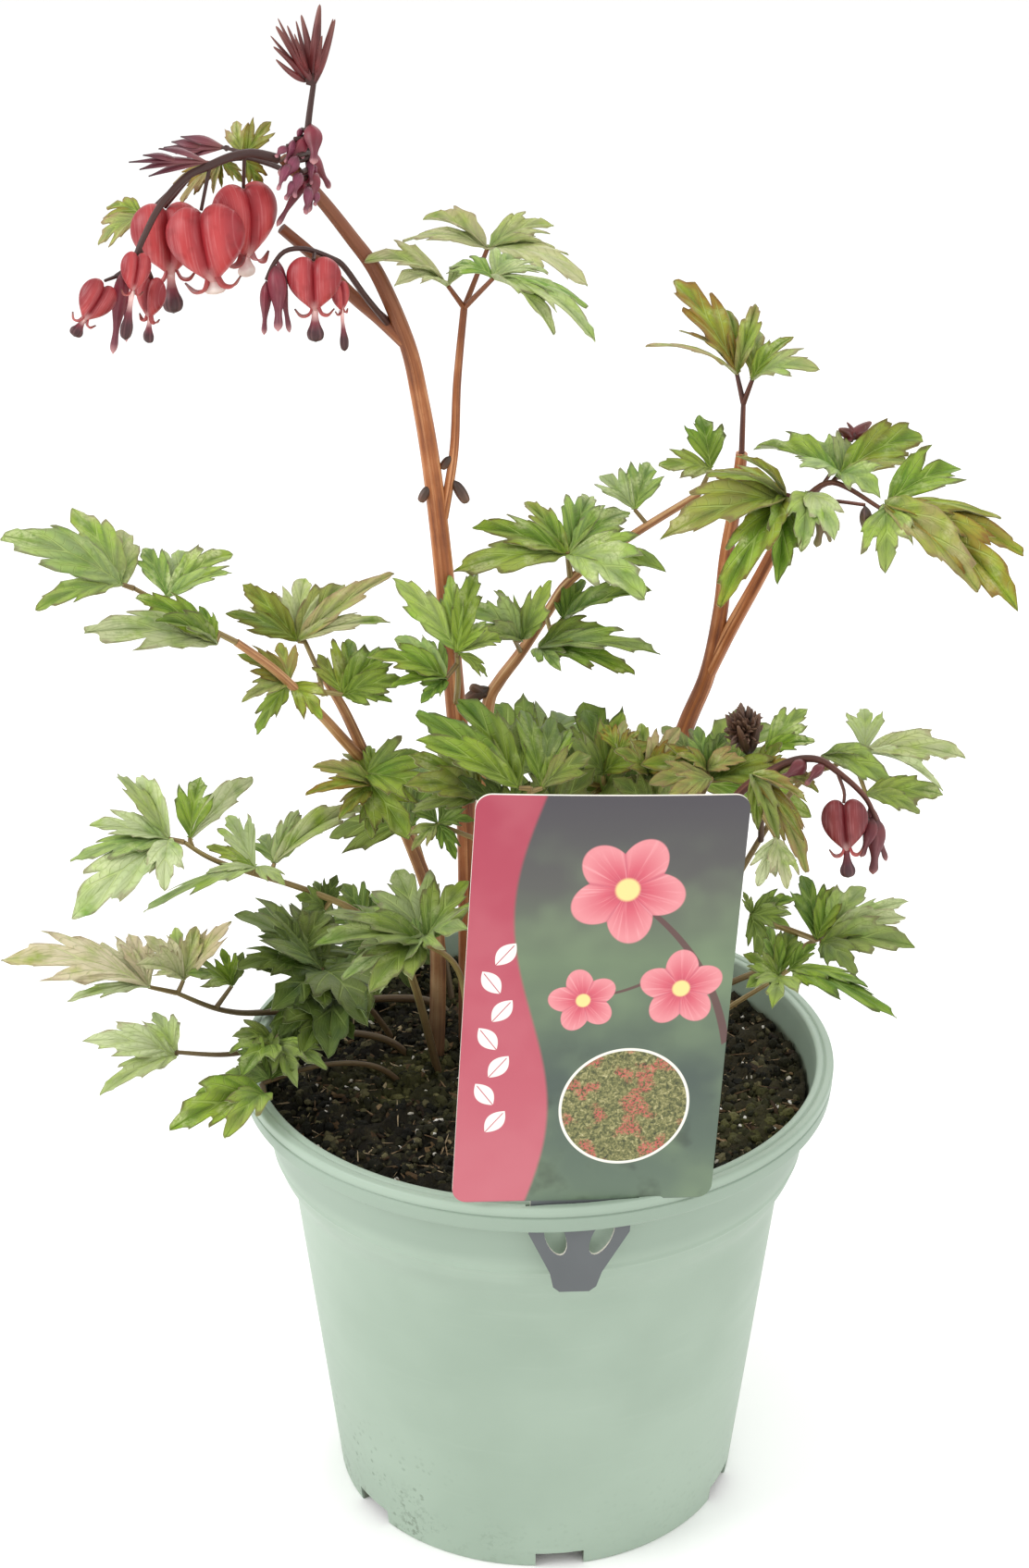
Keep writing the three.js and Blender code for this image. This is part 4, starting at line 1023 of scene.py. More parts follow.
def add_bract(shape, top, bottom, width, rng):
    """A young leaf in place of a bud: dark narrow lobes folded over each other, the middle one longest."""
    up, side, front = frame_along(top, bottom)
    length = np.linalg.norm(top - bottom)
    face = unit(front * 0.8 + UP * 0.4 - up * np.dot(UP, up) * 0.4)
    for turn, start, share in BRACT_LOBES:
        way = turned(-up, face, turn)
        foot = top - up * start * length
        end = foot + way * length * share
        middle = (foot + end) / 2 + UP * rng.uniform(0.2, 0.9) + face * rng.uniform(-0.4, 0.4)
        half = width * rng.uniform(0.24, 0.3)
        add_ribbon(shape, [foot, middle, end], [0.3, half, 0.06], face, BRACT_TINT)


def add_fuzz(shape, middle, radius, count, rng):
    """A round dry cluster of short curled tips."""
    for _ in range(count):
        way = unit(rng.normal(size=3) + np.array([0.0, 0.0, 0.25]))
        start = middle + way * radius * rng.uniform(0.1, 0.4) - UP * radius * 0.25
        end = middle + way * radius * np.array([0.85, 0.85, 1.0]) * rng.uniform(0.75, 1.05)
        width, bend = rng.uniform(0.9, 1.6), rng.uniform(-0.9, 0.9)
        add_spindle(shape, start, end, width, FINGER_PROFILE, DRY_TINT, 8, 0.7, bend)


def add_bud(shape, top, bottom, width, look, dry, rng):
    slim = width <= SLIM_BUD
    colour = DRY_TINT if dry else LOOK_TINTS.get(look, FINGER_TINT if slim else BUD_TINT)
    profile = FINGER_PROFILE if slim and not look else BUD_PROFILE
    bend, spin = rng.uniform(-0.6, 0.6), rng.uniform(0, 180)
    add_spindle(shape, top, bottom, width, profile, colour, BUD_SIDES, BUD_FLAT, bend, spin, BUD_RIBS)


def plant_raceme(name, stems, buds, fuzz=None):
    """A flower stalk with its buds, or a tuft of unfolding leaves. One with fuzz is a dry tuft."""
    rng = rng_for(name)
    shape = Shape()
    for row in buds:
        top, bottom, width, look = bud(row)
        if look == "bract":
            add_bract(shape, top, bottom, width, rng)
        else:
            add_bud(shape, top, bottom, width, look, bool(fuzz), rng)
    if fuzz:
        add_fuzz(shape, np.array(fuzz["middle"], float), fuzz["radius"], fuzz["count"], rng)
    fit(shape.piece(name + "_buds", PETAL_FINISH), name)
    stalks = [*stems, *stalklets(stems, [bud(row)[0] for row in buds])]
    finish = DRY_FINISH if fuzz else RACHIS_FINISH
    fit(stem_piece(name + "_stalks", stalks, finish, STALK_SIDES, RACEME_STEP), name)


HEART_ROWS = 30
HEART_COLUMNS = 52
HEART_TOP = 0.8
HEART_SPAN = 1.94
HEART_DEPTH = 0.27


def heart_points(width, height):
    """The two outer petals: a full round lobe each side of a crease, drawn in at the foot."""
    polar = np.linspace(0, math.pi, HEART_ROWS)[:, None]
    angle = round_angles(HEART_COLUMNS)[None, :]
    x = np.sin(polar) * np.cos(angle)
    z = np.sin(polar) * np.sin(angle)
    y = np.cos(polar) + 0 * angle
    low = np.clip(-y, 0, 1)
    drawn = 1 - 0.2 * low**2
    notch = (0.13 * np.exp(-((x / 0.28) ** 2)) + 0.1 * np.exp(-((x / 0.08) ** 2))) * np.clip(y, 0, None)
    rise = y + 0.2 * np.abs(x) * (1 - 0.3 * low) - notch - 0.14 * low**2 * np.exp(-((x / 0.3) ** 2))
    crease = 1 - 0.3 * np.exp(-((x / 0.1) ** 2)) + 0.1 * np.cos(math.pi * (np.abs(x) - 0.5))
    up = (rise - HEART_TOP) * height / HEART_SPAN
    place = [x * drawn * width / 2, up, z * crease * width * HEART_DEPTH]
    return np.stack(place, axis=-1), np.abs(x), (y + 1) / 2


def heart_tint(across, rise, deep):
    """Crimson at the sides and the crease, blush at the foot. Coral down each lobe's middle is a painted
    highlight.
    """
    # glow is the painted highlight down the middle of each lobe.
    glow = np.exp(-(((across - 0.42) / 0.24) ** 2))[..., None] * np.clip(1.1 - rise * 0.5, 0, 1)[..., None]
    foot = np.clip((0.2 - rise) / 0.2, 0, 1)[..., None] * np.exp(-((across / 0.16) ** 2))[..., None]
    base = np.array(paint(*CRIMSON)) * (1 - glow) + np.array(paint(*CORAL)) * glow
    base = base * np.array([1 - deep, 1 - deep * 0.8, 1 - deep * 0.8, 1])
    return base * (1 - 0.7 * foot) + np.array(paint(*BLUSH)) * 0.7 * foot


# The turned-out tip of an outer petal: across, up from the heart's foot, forward, and half its breadth. The
# second is a share of the heart's height and the others are shares of its width.
TIP_ROUTE = [
    (0.05, 0.12, 0.02, 0.1),
    (0.12, -0.05, 0.03, 0.1),
    (0.25, -0.08, 0.02, 0.085),
    (0.36, 0.05, 0, 0.02),
]
DARK_HEART = 0.3
PALE_SHARE = 0.7
HEART_BROADEST = 0.92
DROP_START = 0.82
DROP_LEAST = 1.6
DROP_SHARE = 0.17
DROP_SIDES = 16
DROP_FLAT = 0.62
DROP_RIBS = 0.1


def bloom(name, top, end, width, turn, share, deep, full):
    """An open flower: its heart, the turned-out tips of its outer petals, and its drop."""
    hang, end = np.array(top, float), np.array(end, float)
    width = width * full
    height = min(share * np.linalg.norm(hang - end), HEART_BROADEST * width + 2)
    up, side, front = frame_along(hang, end)
    side, front = turned(side, up, turn + 180), turned(front, up, turn + 180)
    hang = hang - up * BLOOM_GAP
    shape = Shape()
    points, across, rise = heart_points(width, height)
    world = hang + side * points[..., 0:1] + up * points[..., 1:2] + front * points[..., 2:3]
    petal = np.column_stack([points[..., 0].ravel() / width * 2, rise.ravel(), np.ones(rise.size)])
    faces = grid_faces(*across.shape, 0, True)
    shape.add(world, faces, petal=petal, tint=heart_tint(across, rise, deep).reshape(-1, 4))
    for hand in (-1, 1):
        route = [
            hang + side * (hand * x * width) + up * (-height + y * height) + front * (z * width)
            for x, y, z, _ in TIP_ROUTE
        ]
        add_ribbon(shape, route, [half * width for *_, half in TIP_ROUTE], front, TIP_TINT)
    waist = hang + up * (-DROP_START * height)
    drop = DARK_DROP_TINT if deep > DARK_HEART else PALE_DROP_TINT if share > PALE_SHARE else DROP_TINT
    broad = DROP_LEAST + DROP_SHARE * width
    add_spindle(shape, waist, end, broad, DROP_PROFILE, drop, DROP_SIDES, DROP_FLAT, 0, turn, DROP_RIBS)
    fit(shape.piece(name + "_petals", PETAL_FINISH, SHELL_EDGE), name)


# ---- pot ----

POT_HEIGHT = 138
LIP_RADIUS = 85
LIP_DEPTH = 8
LIP_WIDTH = 5.4
COLLAR_TOP_RADIUS = 80
COLLAR_FOOT_RADIUS = 76.4
COLLAR_FOOT_Z = 112
WALL_TOP_RADIUS = 71
WALL_TOP_Z = 101
FOOT_RADIUS = 59.4
WALL = 1.4
FLOOR = 1.5
FOOT_RECESS = 3
FOOT_DISC_RADIUS = 44
FOOT_RING = 2.4
NOTCHES = 6
NOTCH = (12, 14, 10)
NOTCH_TURN = 0.12
SLOT_ROOM = (3, 0.7)
POT_SIDES = 160
LONGEST_STRETCH = 12
CORNER_STEPS = 4
POT_EDGE = 35

CHANNEL_OUTER = FOOT_RADIUS - FOOT_RING
FLOOR_TOP = FOOT_RECESS + FLOOR

# The pot's section as (radius, height, rounding): from its foot's middle outside and up, then down inside.
POT_PROFILE = [
    (0, 0, 0),
    (FOOT_DISC_RADIUS, 0, 0.5),
    (FOOT_DISC_RADIUS + 1, FOOT_RECESS, 0.5),
    (CHANNEL_OUTER - 1, FOOT_RECESS, 0.5),
    (CHANNEL_OUTER, 0, 0.4),
    (FOOT_RADIUS, 0, 0.8),
    (WALL_TOP_RADIUS, WALL_TOP_Z, 7),
    (COLLAR_FOOT_RADIUS - 1.2, COLLAR_FOOT_Z - 4, 3),
    (COLLAR_FOOT_RADIUS - 0.2, COLLAR_FOOT_Z - 0.6, 0.3),
    (COLLAR_FOOT_RADIUS + 0.35, COLLAR_FOOT_Z + 0.2, 0.3),
    (COLLAR_FOOT_RADIUS + 0.2, COLLAR_FOOT_Z + 1.4, 0.3),
    (COLLAR_TOP_RADIUS, POT_HEIGHT - LIP_DEPTH - 1.2, 0.8),
    (LIP_RADIUS - 0.7, POT_HEIGHT - LIP_DEPTH, 0.9),
    (LIP_RADIUS - 0.2, POT_HEIGHT - 3.7, 0.2),
    (LIP_RADIUS - 0.75, POT_HEIGHT - 3.3, 0.2),
    (LIP_RADIUS - 0.2, POT_HEIGHT - 2.9, 0.2),
    (LIP_RADIUS, POT_HEIGHT, 1.3),
    (LIP_RADIUS - 2.2, POT_HEIGHT, 0.4),
    (LIP_RADIUS - 2.7, POT_HEIGHT - 0.5, 0.2),
    (LIP_RADIUS - 3.2, POT_HEIGHT, 0.4),
    (LIP_RADIUS - LIP_WIDTH + 0.4, POT_HEIGHT, 0.9),
    (COLLAR_TOP_RADIUS - WALL, POT_HEIGHT - LIP_DEPTH, 1.5),
    (COLLAR_FOOT_RADIUS - WALL, COLLAR_FOOT_Z - 1, 2),
    (WALL_TOP_RADIUS - WALL, WALL_TOP_Z - 1, 4),
    (FOOT_RADIUS - WALL + 0.3, FLOOR_TOP, 0.4),
    (FOOT_DISC_RADIUS - 1, FLOOR_TOP, 0.4),
    (FOOT_DISC_RADIUS - 2, FLOOR, 0.4),
    (0, FLOOR, 0),
]


def rounded(profile):
    """The profile with each corner rounded by an arc of the length given with it."""
    made = []
    keys = [np.array(row[:2], float) for row in profile]
    for index, (point, row) in enumerate(zip(keys, profile)):
        size = row[2]
        if size == 0:
            made.append(point)
            continue
        before, after = keys[index - 1], keys[index + 1]
        reach = min(size, np.linalg.norm(before - point) * 0.45, np.linalg.norm(after - point) * 0.45)
        start = point + unit(before - point) * reach
        end = point + unit(after - point) * reach
        for k in range(CORNER_STEPS + 1):
            t = k / CORNER_STEPS
            made.append(start * (1 - t) ** 2 + point * 2 * t * (1 - t) + end * t**2)
    return made


def divided(profile):
    """The profile with its long straight stretches cut up, so that the shading stays even."""
    made = [profile[0]]
    for a, b in zip(profile, profile[1:]):
        count = max(1, math.ceil(np.linalg.norm(b - a) / LONGEST_STRETCH))
        made.extend(a + (b - a) * (k + 1) / count for k in range(count))
    return made


def add_lathe(shape, profile, sides):
    """A closed shape of revolution. Its first and last points are on the axis."""
    body = profile[1:-1]
    points = [ring_of(sides) * radius + UP * z for radius, z in body]
    ends = [UP * profile[0][1], UP * profile[-1][1]]
    faces = grid_faces(len(body), sides, 0, True)
    low, high = len(body) * sides, len(body) * sides + 1
    for j in range(sides):
        following = (j + 1) % sides
        faces.append((low, following, j))
        faces.append((high, low - sides + j, low - sides + following))
    shape.add(np.concatenate([*points, ends]), faces)


def block(size, centre, turn):
    """A block turned about the upright axis, to cut with."""
    corners = [(x, y, z) for x in (-0.5, 0.5) for y in (-0.5, 0.5) for z in (-0.5, 0.5)]
    place = np.array(corners) * size + centre
    c, s = math.cos(turn), math.sin(turn)
    place = place @ np.array([[c, s, 0], [-s, c, 0], [0, 0, 1]])
    shape = Shape()
    shape.add(place, [(0, 1, 3, 2), (4, 6, 7, 5), (0, 4, 5, 1), (2, 3, 7, 6), (0, 2, 6, 4), (1, 5, 7, 3)])
    return shape


def cut_away(piece, cutters):
    for cutter in cutters:
        modifier = piece.modifiers.new("cut", "BOOLEAN")
        modifier.operation = "DIFFERENCE"
        modifier.solver = "EXACT"
        modifier.object = cutter
    bpy.context.view_layer.update()
    settle(piece)
    for cutter in cutters:
        bpy.data.objects.remove(cutter)


def build_pot():
    shape = Shape()
    add_lathe(shape, divided(rounded(POT_PROFILE)), POT_SIDES)
    finish = pot_finish()
    pot = shape.piece("pot_shell", finish)
    cutters = []
    for index in range(NOTCHES):
        turn = -math.pi / 2 + NOTCH_TURN + index * math.tau / NOTCHES
        cutters.append(block(NOTCH, (FOOT_RADIUS - 2, 0, 0), turn).piece("notch", finish))
    slot_size = (LABEL_FOOT["top"] + SLOT_ROOM[0], LABEL["thickness"] + SLOT_ROOM[1], 4 * LIP_DEPTH)
    slot = block(slot_size, (0, -LABEL["radius"], POT_HEIGHT), LABEL_AZIMUTH)
    cutters.append(slot.piece("slot", finish))
    cut_away(pot, cutters)
    soften(pot, POT_EDGE)
    fit(pot, "pot")


# ---- soil ----

SOIL_Z = 129
SOIL_CRUMB = 1.3
CLOD_HEIGHT = 1.3
CRUMB_HEIGHT = 1.5
SOIL_EDGE = COLLAR_TOP_RADIUS - WALL - 1.4
SOIL_RINGS = 90
SOIL_SIDES = 240
STREWN_RINGS = 30
STREWN_SIDES = 60
STREWN_EDGE = SOIL_EDGE - 1.5


def soil_height(x, y):
    """The crumbled top: the low swells of the solid, then clods and crumbs."""
    swell = math.sin(0.31 * x + 0.9) * math.cos(0.27 * y - 0.4) + 0.5 * math.sin(0.7 * (x - y))
    clods = noise.fractal(Vector((x * 0.11, y * 0.11, 3.0)), 1.0, 2.1, 3)
    crumbs = noise.turbulence(Vector((x * 0.42, y * 0.42, 7.0)), 3, False)
    return SOIL_Z + SOIL_CRUMB * swell + CLOD_HEIGHT * clods + CRUMB_HEIGHT * (crumbs - 0.5)


def soil_top(rings, sides, edge):
    """The soil's top as a grid of rings round its middle."""
    points = []
    for i in range(1, rings + 1):
        radius = edge * i / rings
        for j in range(sides):
            angle = j * math.tau / sides
            x, y = radius * math.cos(angle), radius * math.sin(angle)
            points.append((x, y, soil_height(x, y)))
    points.append((0, 0, soil_height(0, 0)))
    middle = len(points) - 1
    faces = grid_faces(rings, sides, 0, True)
    faces.extend((middle, j, (j + 1) % sides) for j in range(sides))
    return points, faces


def build_soil():
    """The soil in one closed piece: its crumbled top, its side down the pot's wall, and its flat foot."""
    shape = Shape()
    shape.add(*soil_top(SOIL_RINGS, SOIL_SIDES, SOIL_EDGE))
    side = [
        (COLLAR_FOOT_RADIUS - WALL - 0.6, COLLAR_FOOT_Z),
        (WALL_TOP_RADIUS - WALL - 0.6, WALL_TOP_Z),
        (FOOT_RADIUS - WALL - 0.1, FLOOR_TOP + 0.35),
    ]
    rim = (SOIL_RINGS - 1) * SOIL_SIDES
    start = len(shape.points)
    for radius, z in side:
        shape.add(ring_of(SOIL_SIDES) * radius + UP * z, [])
    rows = [rim, *(start + k * SOIL_SIDES for k in range(len(side)))]
    for a, b in zip(rows, rows[1:]):
        for j in range(SOIL_SIDES):
            k = (j + 1) % SOIL_SIDES
            shape.faces.append((a + j, a + k, b + k, b + j))
    shape.faces.append(tuple(rows[-1] + j for j in range(SOIL_SIDES)))
    finish = soil_finish("potting_soil", (14, 12, 8), (34, 30, 18), (78, 72, 50))
    fit(shape.piece("soil_bed", finish, ALL_SMOOTH), "soil")


def scatter_tree():
    """Geometry nodes: rough grains strewn over a surface, each of its own size, turn and shade."""
    g, (ground, density, seed, fineness, least, most, rough, tilt, finish) = open_tree(
        "strewn_grains",
        Geometry="Geometry",
        Density="Float",
        Seed="Int",
        Fineness="Int",
        Least="Vector",
        Most="Vector",
        Roughness="Float",
        Tilt="Float",
        Finish="Material",
    )
    spread = {"Mesh": ground, "Density": density, "Seed": seed}
    points = g.wire("GeometryNodeDistributePointsOnFaces", 0, None, spread)
    ball = g.wire("GeometryNodeMeshIcoSphere", 0, None, {"Radius": 1.0, "Subdivisions": fineness})
    vector = {"data_type": "FLOAT_VECTOR"}
    size = g.wire("FunctionNodeRandomValue", 0, vector, {0: least, 1: most, "Seed": seed})
    turns = {0: (-1.0, -1.0, 0.0), 1: (1.0, 1.0, math.tau), "Seed": seed + 7}
    turn = g.wire("FunctionNodeRandomValue", 0, vector, turns)
    turn = g.vector("MULTIPLY", turn, g.joined(tilt, tilt, 1.0))
    turn = g.wire("FunctionNodeEulerToRotation", 0, None, {"Euler": turn})
    strewn = {"Points": points, "Instance": ball, "Rotation": turn, "Scale": size}
    grains = g.wire("GeometryNodeInstanceOnPoints", 0, None, strewn)
    shade = g.wire("FunctionNodeRandomValue", 1, {"data_type": "FLOAT"}, {2: 0.0, 3: 1.0, "Seed": seed + 3})
    grains = g.stored(grains, "grain", shade, "INSTANCE")
    grains = g.wire("GeometryNodeRealizeInstances", 0, None, {"Geometry": grains})
    place = g.wire("GeometryNodeInputPosition")
    wobble = g.wire("ShaderNodeTexNoise", "Color", None, {"Vector": place, "Scale": 900.0, "Detail": 2.0})
    wobble = g.scaled(g.vector("SUBTRACT", wobble, (0.5, 0.5, 0.5)), rough)
    g.close(g.wire("GeometryNodeSetPosition", 0, None, {"Geometry": grains, "Offset": wobble}), finish)
    return g.tree


# Grains strewn over the soil: density a square metre, seed, fineness, least and most size in
# millimetres, roughness, tilt, and the range of shades.
GRAINS = {
    "soil_crumbs": (210000, 3, 1, (0.5, 0.5, 0.4), (1.5, 1.5, 1.1), 0.9, 1.5, "crumb"),
    "soil_clods": (30000, 8, 2, (1.0, 1.0, 0.8), (2.5, 2.3, 1.8), 1.8, 1.5, "crumb"),
    "soil_bark": (26000, 21, 1, (1.2, 0.5, 0.25), (3.8, 1.4, 0.7), 0.8, 0.5, "bark"),
    "soil_perlite": (11000, 5, 1, (0.5, 0.5, 0.4), (1.3, 1.2, 1.0), 0.8, 1.5, "perlite"),
    "soil_fibres": (30000, 13, 1, (2.0, 0.12, 0.12), (6.5, 0.24, 0.22), 0.7, 0.35, "fibre"),
}
GRAIN_SHADES = {
    "crumb": [(0.0, (12, 12, 6)), (0.5, (32, 31, 17)), (0.85, (58, 55, 34)), (1.0, (104, 98, 70))],
    "bark": [(0.0, (34, 24, 14)), (0.5, (70, 52, 32)), (0.85, (118, 96, 66)), (1.0, (176, 160, 128))],
    "perlite": [(0.0, (196, 190, 176)), (0.6, (226, 222, 212)), (1.0, (240, 238, 232))],
    "fibre": [(0.0, (86, 66, 46)), (0.6, (138, 116, 88)), (1.0, (190, 172, 142))],
}


def strew_grains():
    tree = scatter_tree()
    ground = soil_top(STREWN_RINGS, STREWN_SIDES, STREWN_EDGE)
    for name, (density, seed, fineness, least, most, rough, tilt, kind) in GRAINS.items():
        shape = Shape()
        shape.add(*ground)
        finish = grain_finish(name, GRAIN_SHADES[kind], kind == "crumb")
        piece = shape.piece(name, finish, ALL_SMOOTH)
        sizes = {"least": [part * MM for part in least], "most": [part * MM for part in most]}
        counts = {"density": float(density), "seed": seed, "fineness": fineness}
        grow(piece, tree, **counts, **sizes, roughness=rough * MM, tilt=tilt, finish=finish)
        fit(piece, "soil")


# ---- label ----

# The sheet: its sizes, how far it reaches below its print, and where it stands behind the lip's front.
LABEL = {
    "width": 68.5,
    "height": 113.5,
    "skirt": 1.9,
    "corner": 4,
    "thickness": 0.8,
    "radius": 81.8,
    "lift": 2.4,
}
LABEL_AZIMUTH = math.radians(8.4)
LABEL_ROLL = math.radians(3.6)
LABEL_BOW = 0.9
LABEL_FOOT = {"top": 27, "tip": 8, "drop": 28, "shoulder": 12, "cheek": 3}
LABEL_HOLES = {"offset": 6.2, "drop": 13.5, "half_width": 2.8, "half_height": 5.5, "lean": 0.3}
LABEL_EDGE = 40
CORNER_POINTS = 9
HOLE_SIDES = 20
# The cuts that divide the sheet, across it and up it: from, to and how many strips.
SHEET_CUTS = [(-34, 34, 12), (-30, 113, 20)]

# Printed blossoms: middle across and up the label, radius, turn in degrees.
BLOSSOMS = [(5, 88, 15, 10), (21, 60, 11, -20), (-4, 57, 9, 40)]
# Printed boughs behind them: from, to, bow and width.
BOUGHS = [((34, 44), (6, 86), 5.0, 1.1), ((22, 70), (-4, 58), -3.0, 0.5)]
# The round picture: middle across and up the label, and radius.
PICTURE = (9, 26, 16.5)
# Small leaves up the rose band: how far to each side, lowest, rise from one to the next, how many, length.
GARLAND = {"x": -26, "aside": 1.6, "lean": 38, "low": 22, "rise": 8, "count": 7, "length": 8}


def label_outline():
    """The sheet's outline, clockwise from the foot's left shoulder: across and up, in millimetres."""
    half, height, corner = LABEL["width"] / 2, LABEL["height"], LABEL["corner"]
    low = -LABEL["skirt"]
    points = []
    for x, z, start in ((half, low, -90), (half, height, 0), (-half, height, 90), (-half, low, 180)):
        middle = (x - math.copysign(corner, x), z + (corner if z == low else -corner))
        for k in range(CORNER_POINTS):
            angle = math.radians(start + 90 * k / (CORNER_POINTS - 1))
            points.append((middle[0] + corner * math.cos(angle), middle[1] + corner * math.sin(angle)))
    top, tip = LABEL_FOOT["top"] / 2, LABEL_FOOT["tip"] / 2
    foot = -LABEL_FOOT["drop"] - LABEL["lift"]
    cheek = LABEL_FOOT["cheek"]
    side = [
        (top, low),
        (top, -LABEL_FOOT["shoulder"]),
        (tip + cheek, foot + 2 * cheek),
        (tip + 0.6 * cheek, foot + 0.5 * cheek),
        (tip, foot),
    ]
    points.extend((-x, z) for x, z in side)
    points.extend(reversed(side))
    return points


def label_place(x, z, y):
    """A point of the flat sheet where it stands: rolled a little, behind the lip, turned to the side."""
    c, s = math.cos(LABEL_ROLL), math.sin(LABEL_ROLL)
    bow = LABEL_BOW * (x / 33) ** 2 * max(0.0, min(1.0, z / 60))
    x, z, y = x * c + z * s, z * c - x * s, y + bow
    y -= LABEL["radius"]
    z += POT_HEIGHT + LABEL["lift"]
    c, s = math.cos(LABEL_AZIMUTH), math.sin(LABEL_AZIMUTH)
    return x * c - y * s, x * s + y * c, z


def label_hole(side):
    """The outline of one of the two leaning holes in the foot."""
    points = []
    for angle in round_angles(HOLE_SIDES):
        z = LABEL_HOLES["half_height"] * math.sin(angle)
        middle = side * (LABEL_HOLES["offset"] + LABEL_HOLES["lean"] * z)
        points.append((middle + LABEL_HOLES["half_width"] * math.cos(angle), z - LABEL_HOLES["drop"]))
    return points


def sheet_grid():
    """The flat sheet, divided finely enough to bow, with its two holes."""
    work = bmesh.new()
    edges = []
    for outline in (label_outline(), label_hole(-1), label_hole(1)):
        ring = [work.verts.new((x, z, 0)) for x, z in outline]
        edges.extend(work.edges.new((a, b)) for a, b in zip(ring, ring[1:] + ring[:1]))
    bmesh.ops.triangle_fill(work, edges=edges, use_beauty=True)
    for axis, (start, end, count) in enumerate(SHEET_CUTS):
        for k in range(1, count):
            place, normal = [0, 0, 0], [0, 0, 0]
            place[axis] = start + (end - start) * k / count
            normal[axis] = 1
            geometry = work.verts[:] + work.edges[:] + work.faces[:]
            bmesh.ops.bisect_plane(work, geom=geometry, plane_co=place, plane_no=normal, dist=1e-4)
    return work


def build_label():
    work = sheet_grid()
    work.verts.index_update()
    flat = [tuple(vertex.co[:2]) for vertex in work.verts]
    faces = [tuple(vertex.index for vertex in face.verts) for face in work.faces]
    rims = [tuple(vertex.index for vertex in edge.verts) for edge in work.edges if len(edge.link_faces) == 1]
    work.free()
    half = LABEL["thickness"] / 2
    count = len(flat)
    points = [label_place(x, z, y) for y in (-half, half) for x, z in flat]
    both = faces + [tuple(count + i for i in face) for face in faces]
    both.extend((a, b, count + b, count + a) for a, b in rims)
    prints = np.array([(x, z, side) for side in (1.0, -1.0) for x, z in flat])
    shape = Shape()
    shape.add(points, both, print=prints)
    fit(shape.piece("label_sheet", label_finish(), LABEL_EDGE), "label")


def blossom(f, x, z, middle_x, middle_z, radius, turn):
    """A round blossom of five petals: how far a point is within it, and its own shades."""
    across, up = (x - middle_x) / radius, (z - middle_z) / radius
    way = f.math("SQRT", across * across + up * up)
    angle = f.math("ARCTAN2", up, across) + math.radians(turn)
    petal = f.math("ABSOLUTE", f.math("COSINE", angle * 2.5))
    edge = 0.66 + petal * 0.34
    inside = f.step(way - edge, 0.02, -0.02)
    streak = f.noise(f.joined(angle * 6.0, way * 0.6, 0.0), 1.6, 3.0)
    shade = f.layered(
        f.ramp(way / edge, [(0.0, (176, 50, 78)), (0.4, (206, 90, 106)), (0.9, (222, 138, 144))]),
        (f.step(petal, 0.22, 0.0) * 0.55, (186, 66, 92)),
        (f.step(streak, 0.5, 0.75) * 0.35, (246, 190, 190)),
        (f.step(way, 0.24, 0.17), (238, 214, 140)),
    )
    return inside, shade


def bough(f, x, z, start, end, bow, width):
    """A printed line between two points, bowed and thinner at its end: 1 on it, 0 off it."""
    (x0, z0), (x1, z1) = start, end
    length = math.hypot(x1 - x0, z1 - z0)
    dx, dz = (x1 - x0) / length, (z1 - z0) / length
    along = (x - x0) * dx + (z - z0) * dz
    curve = along * (1 - along / length) * (4 * bow / length)
    aside = f.math("ABSOLUTE", (x - x0) * dz - (z - z0) * dx - curve)
    ends = f.both(f.step(along, -0.2, 0.2), f.step(along, length + 0.2, length - 0.2))
    return f.step(aside + along * (0.5 * width / length), width + 0.2, width - 0.1) * ends


def leaf_mark(f, x, z, middle_x, middle_z, length, turn):
    """A plain pointed leaf: 1 on it but for its rib, 0 off it."""
    c, s = math.cos(math.radians(turn)), math.sin(math.radians(turn))
    along = ((x - middle_x) * c + (z - middle_z) * s) / length
    aside = f.math("ABSOLUTE", (z - middle_z) * c - (x - middle_x) * s) / length
    leaf = f.step(0.3 - along * along * 1.2 - aside, 0.0, 0.02)
    return leaf * (1 - f.step(aside, 0.022, 0.01) * f.step(along, 0.42, 0.38))


def label_ground(f, x, z, place, haze):
    """The dusky ground, with the rose band up its left side."""
    up = z / LABEL["height"]
    stops = [(0.0, (92, 110, 92)), (0.3, (70, 84, 76)), (0.6, (104, 122, 94)), (0.78, (84, 84, 80)),
             (1.0, (68, 64, 70))]
    cloud = f.step(f.noise(place, 0.09, 3.0), 0.5, 0.7)
    grey = f.layered(
        f.ramp(up, stops),
        (f.step(haze, 0.4, 0.7) * 0.45 * f.step(up, 0.95, 0.75), (122, 142, 108)),
        (cloud * f.step(up, 0.5, 0.2) * 0.5, (44, 52, 44)),
    )
    edge = f.math("SINE", z * 0.052 + 0.4) * 6.0 - 17.0
    rose = f.ramp(up, [(0.0, (192, 100, 112)), (0.5, (178, 72, 90)), (1.0, (166, 56, 78))])
    rose = f.mix(f.step(haze, 0.4, 0.65) * 0.25, rose, (196, 112, 122))
    return f.mix(f.step(x - edge, 0.6, -0.6), grey, rose)


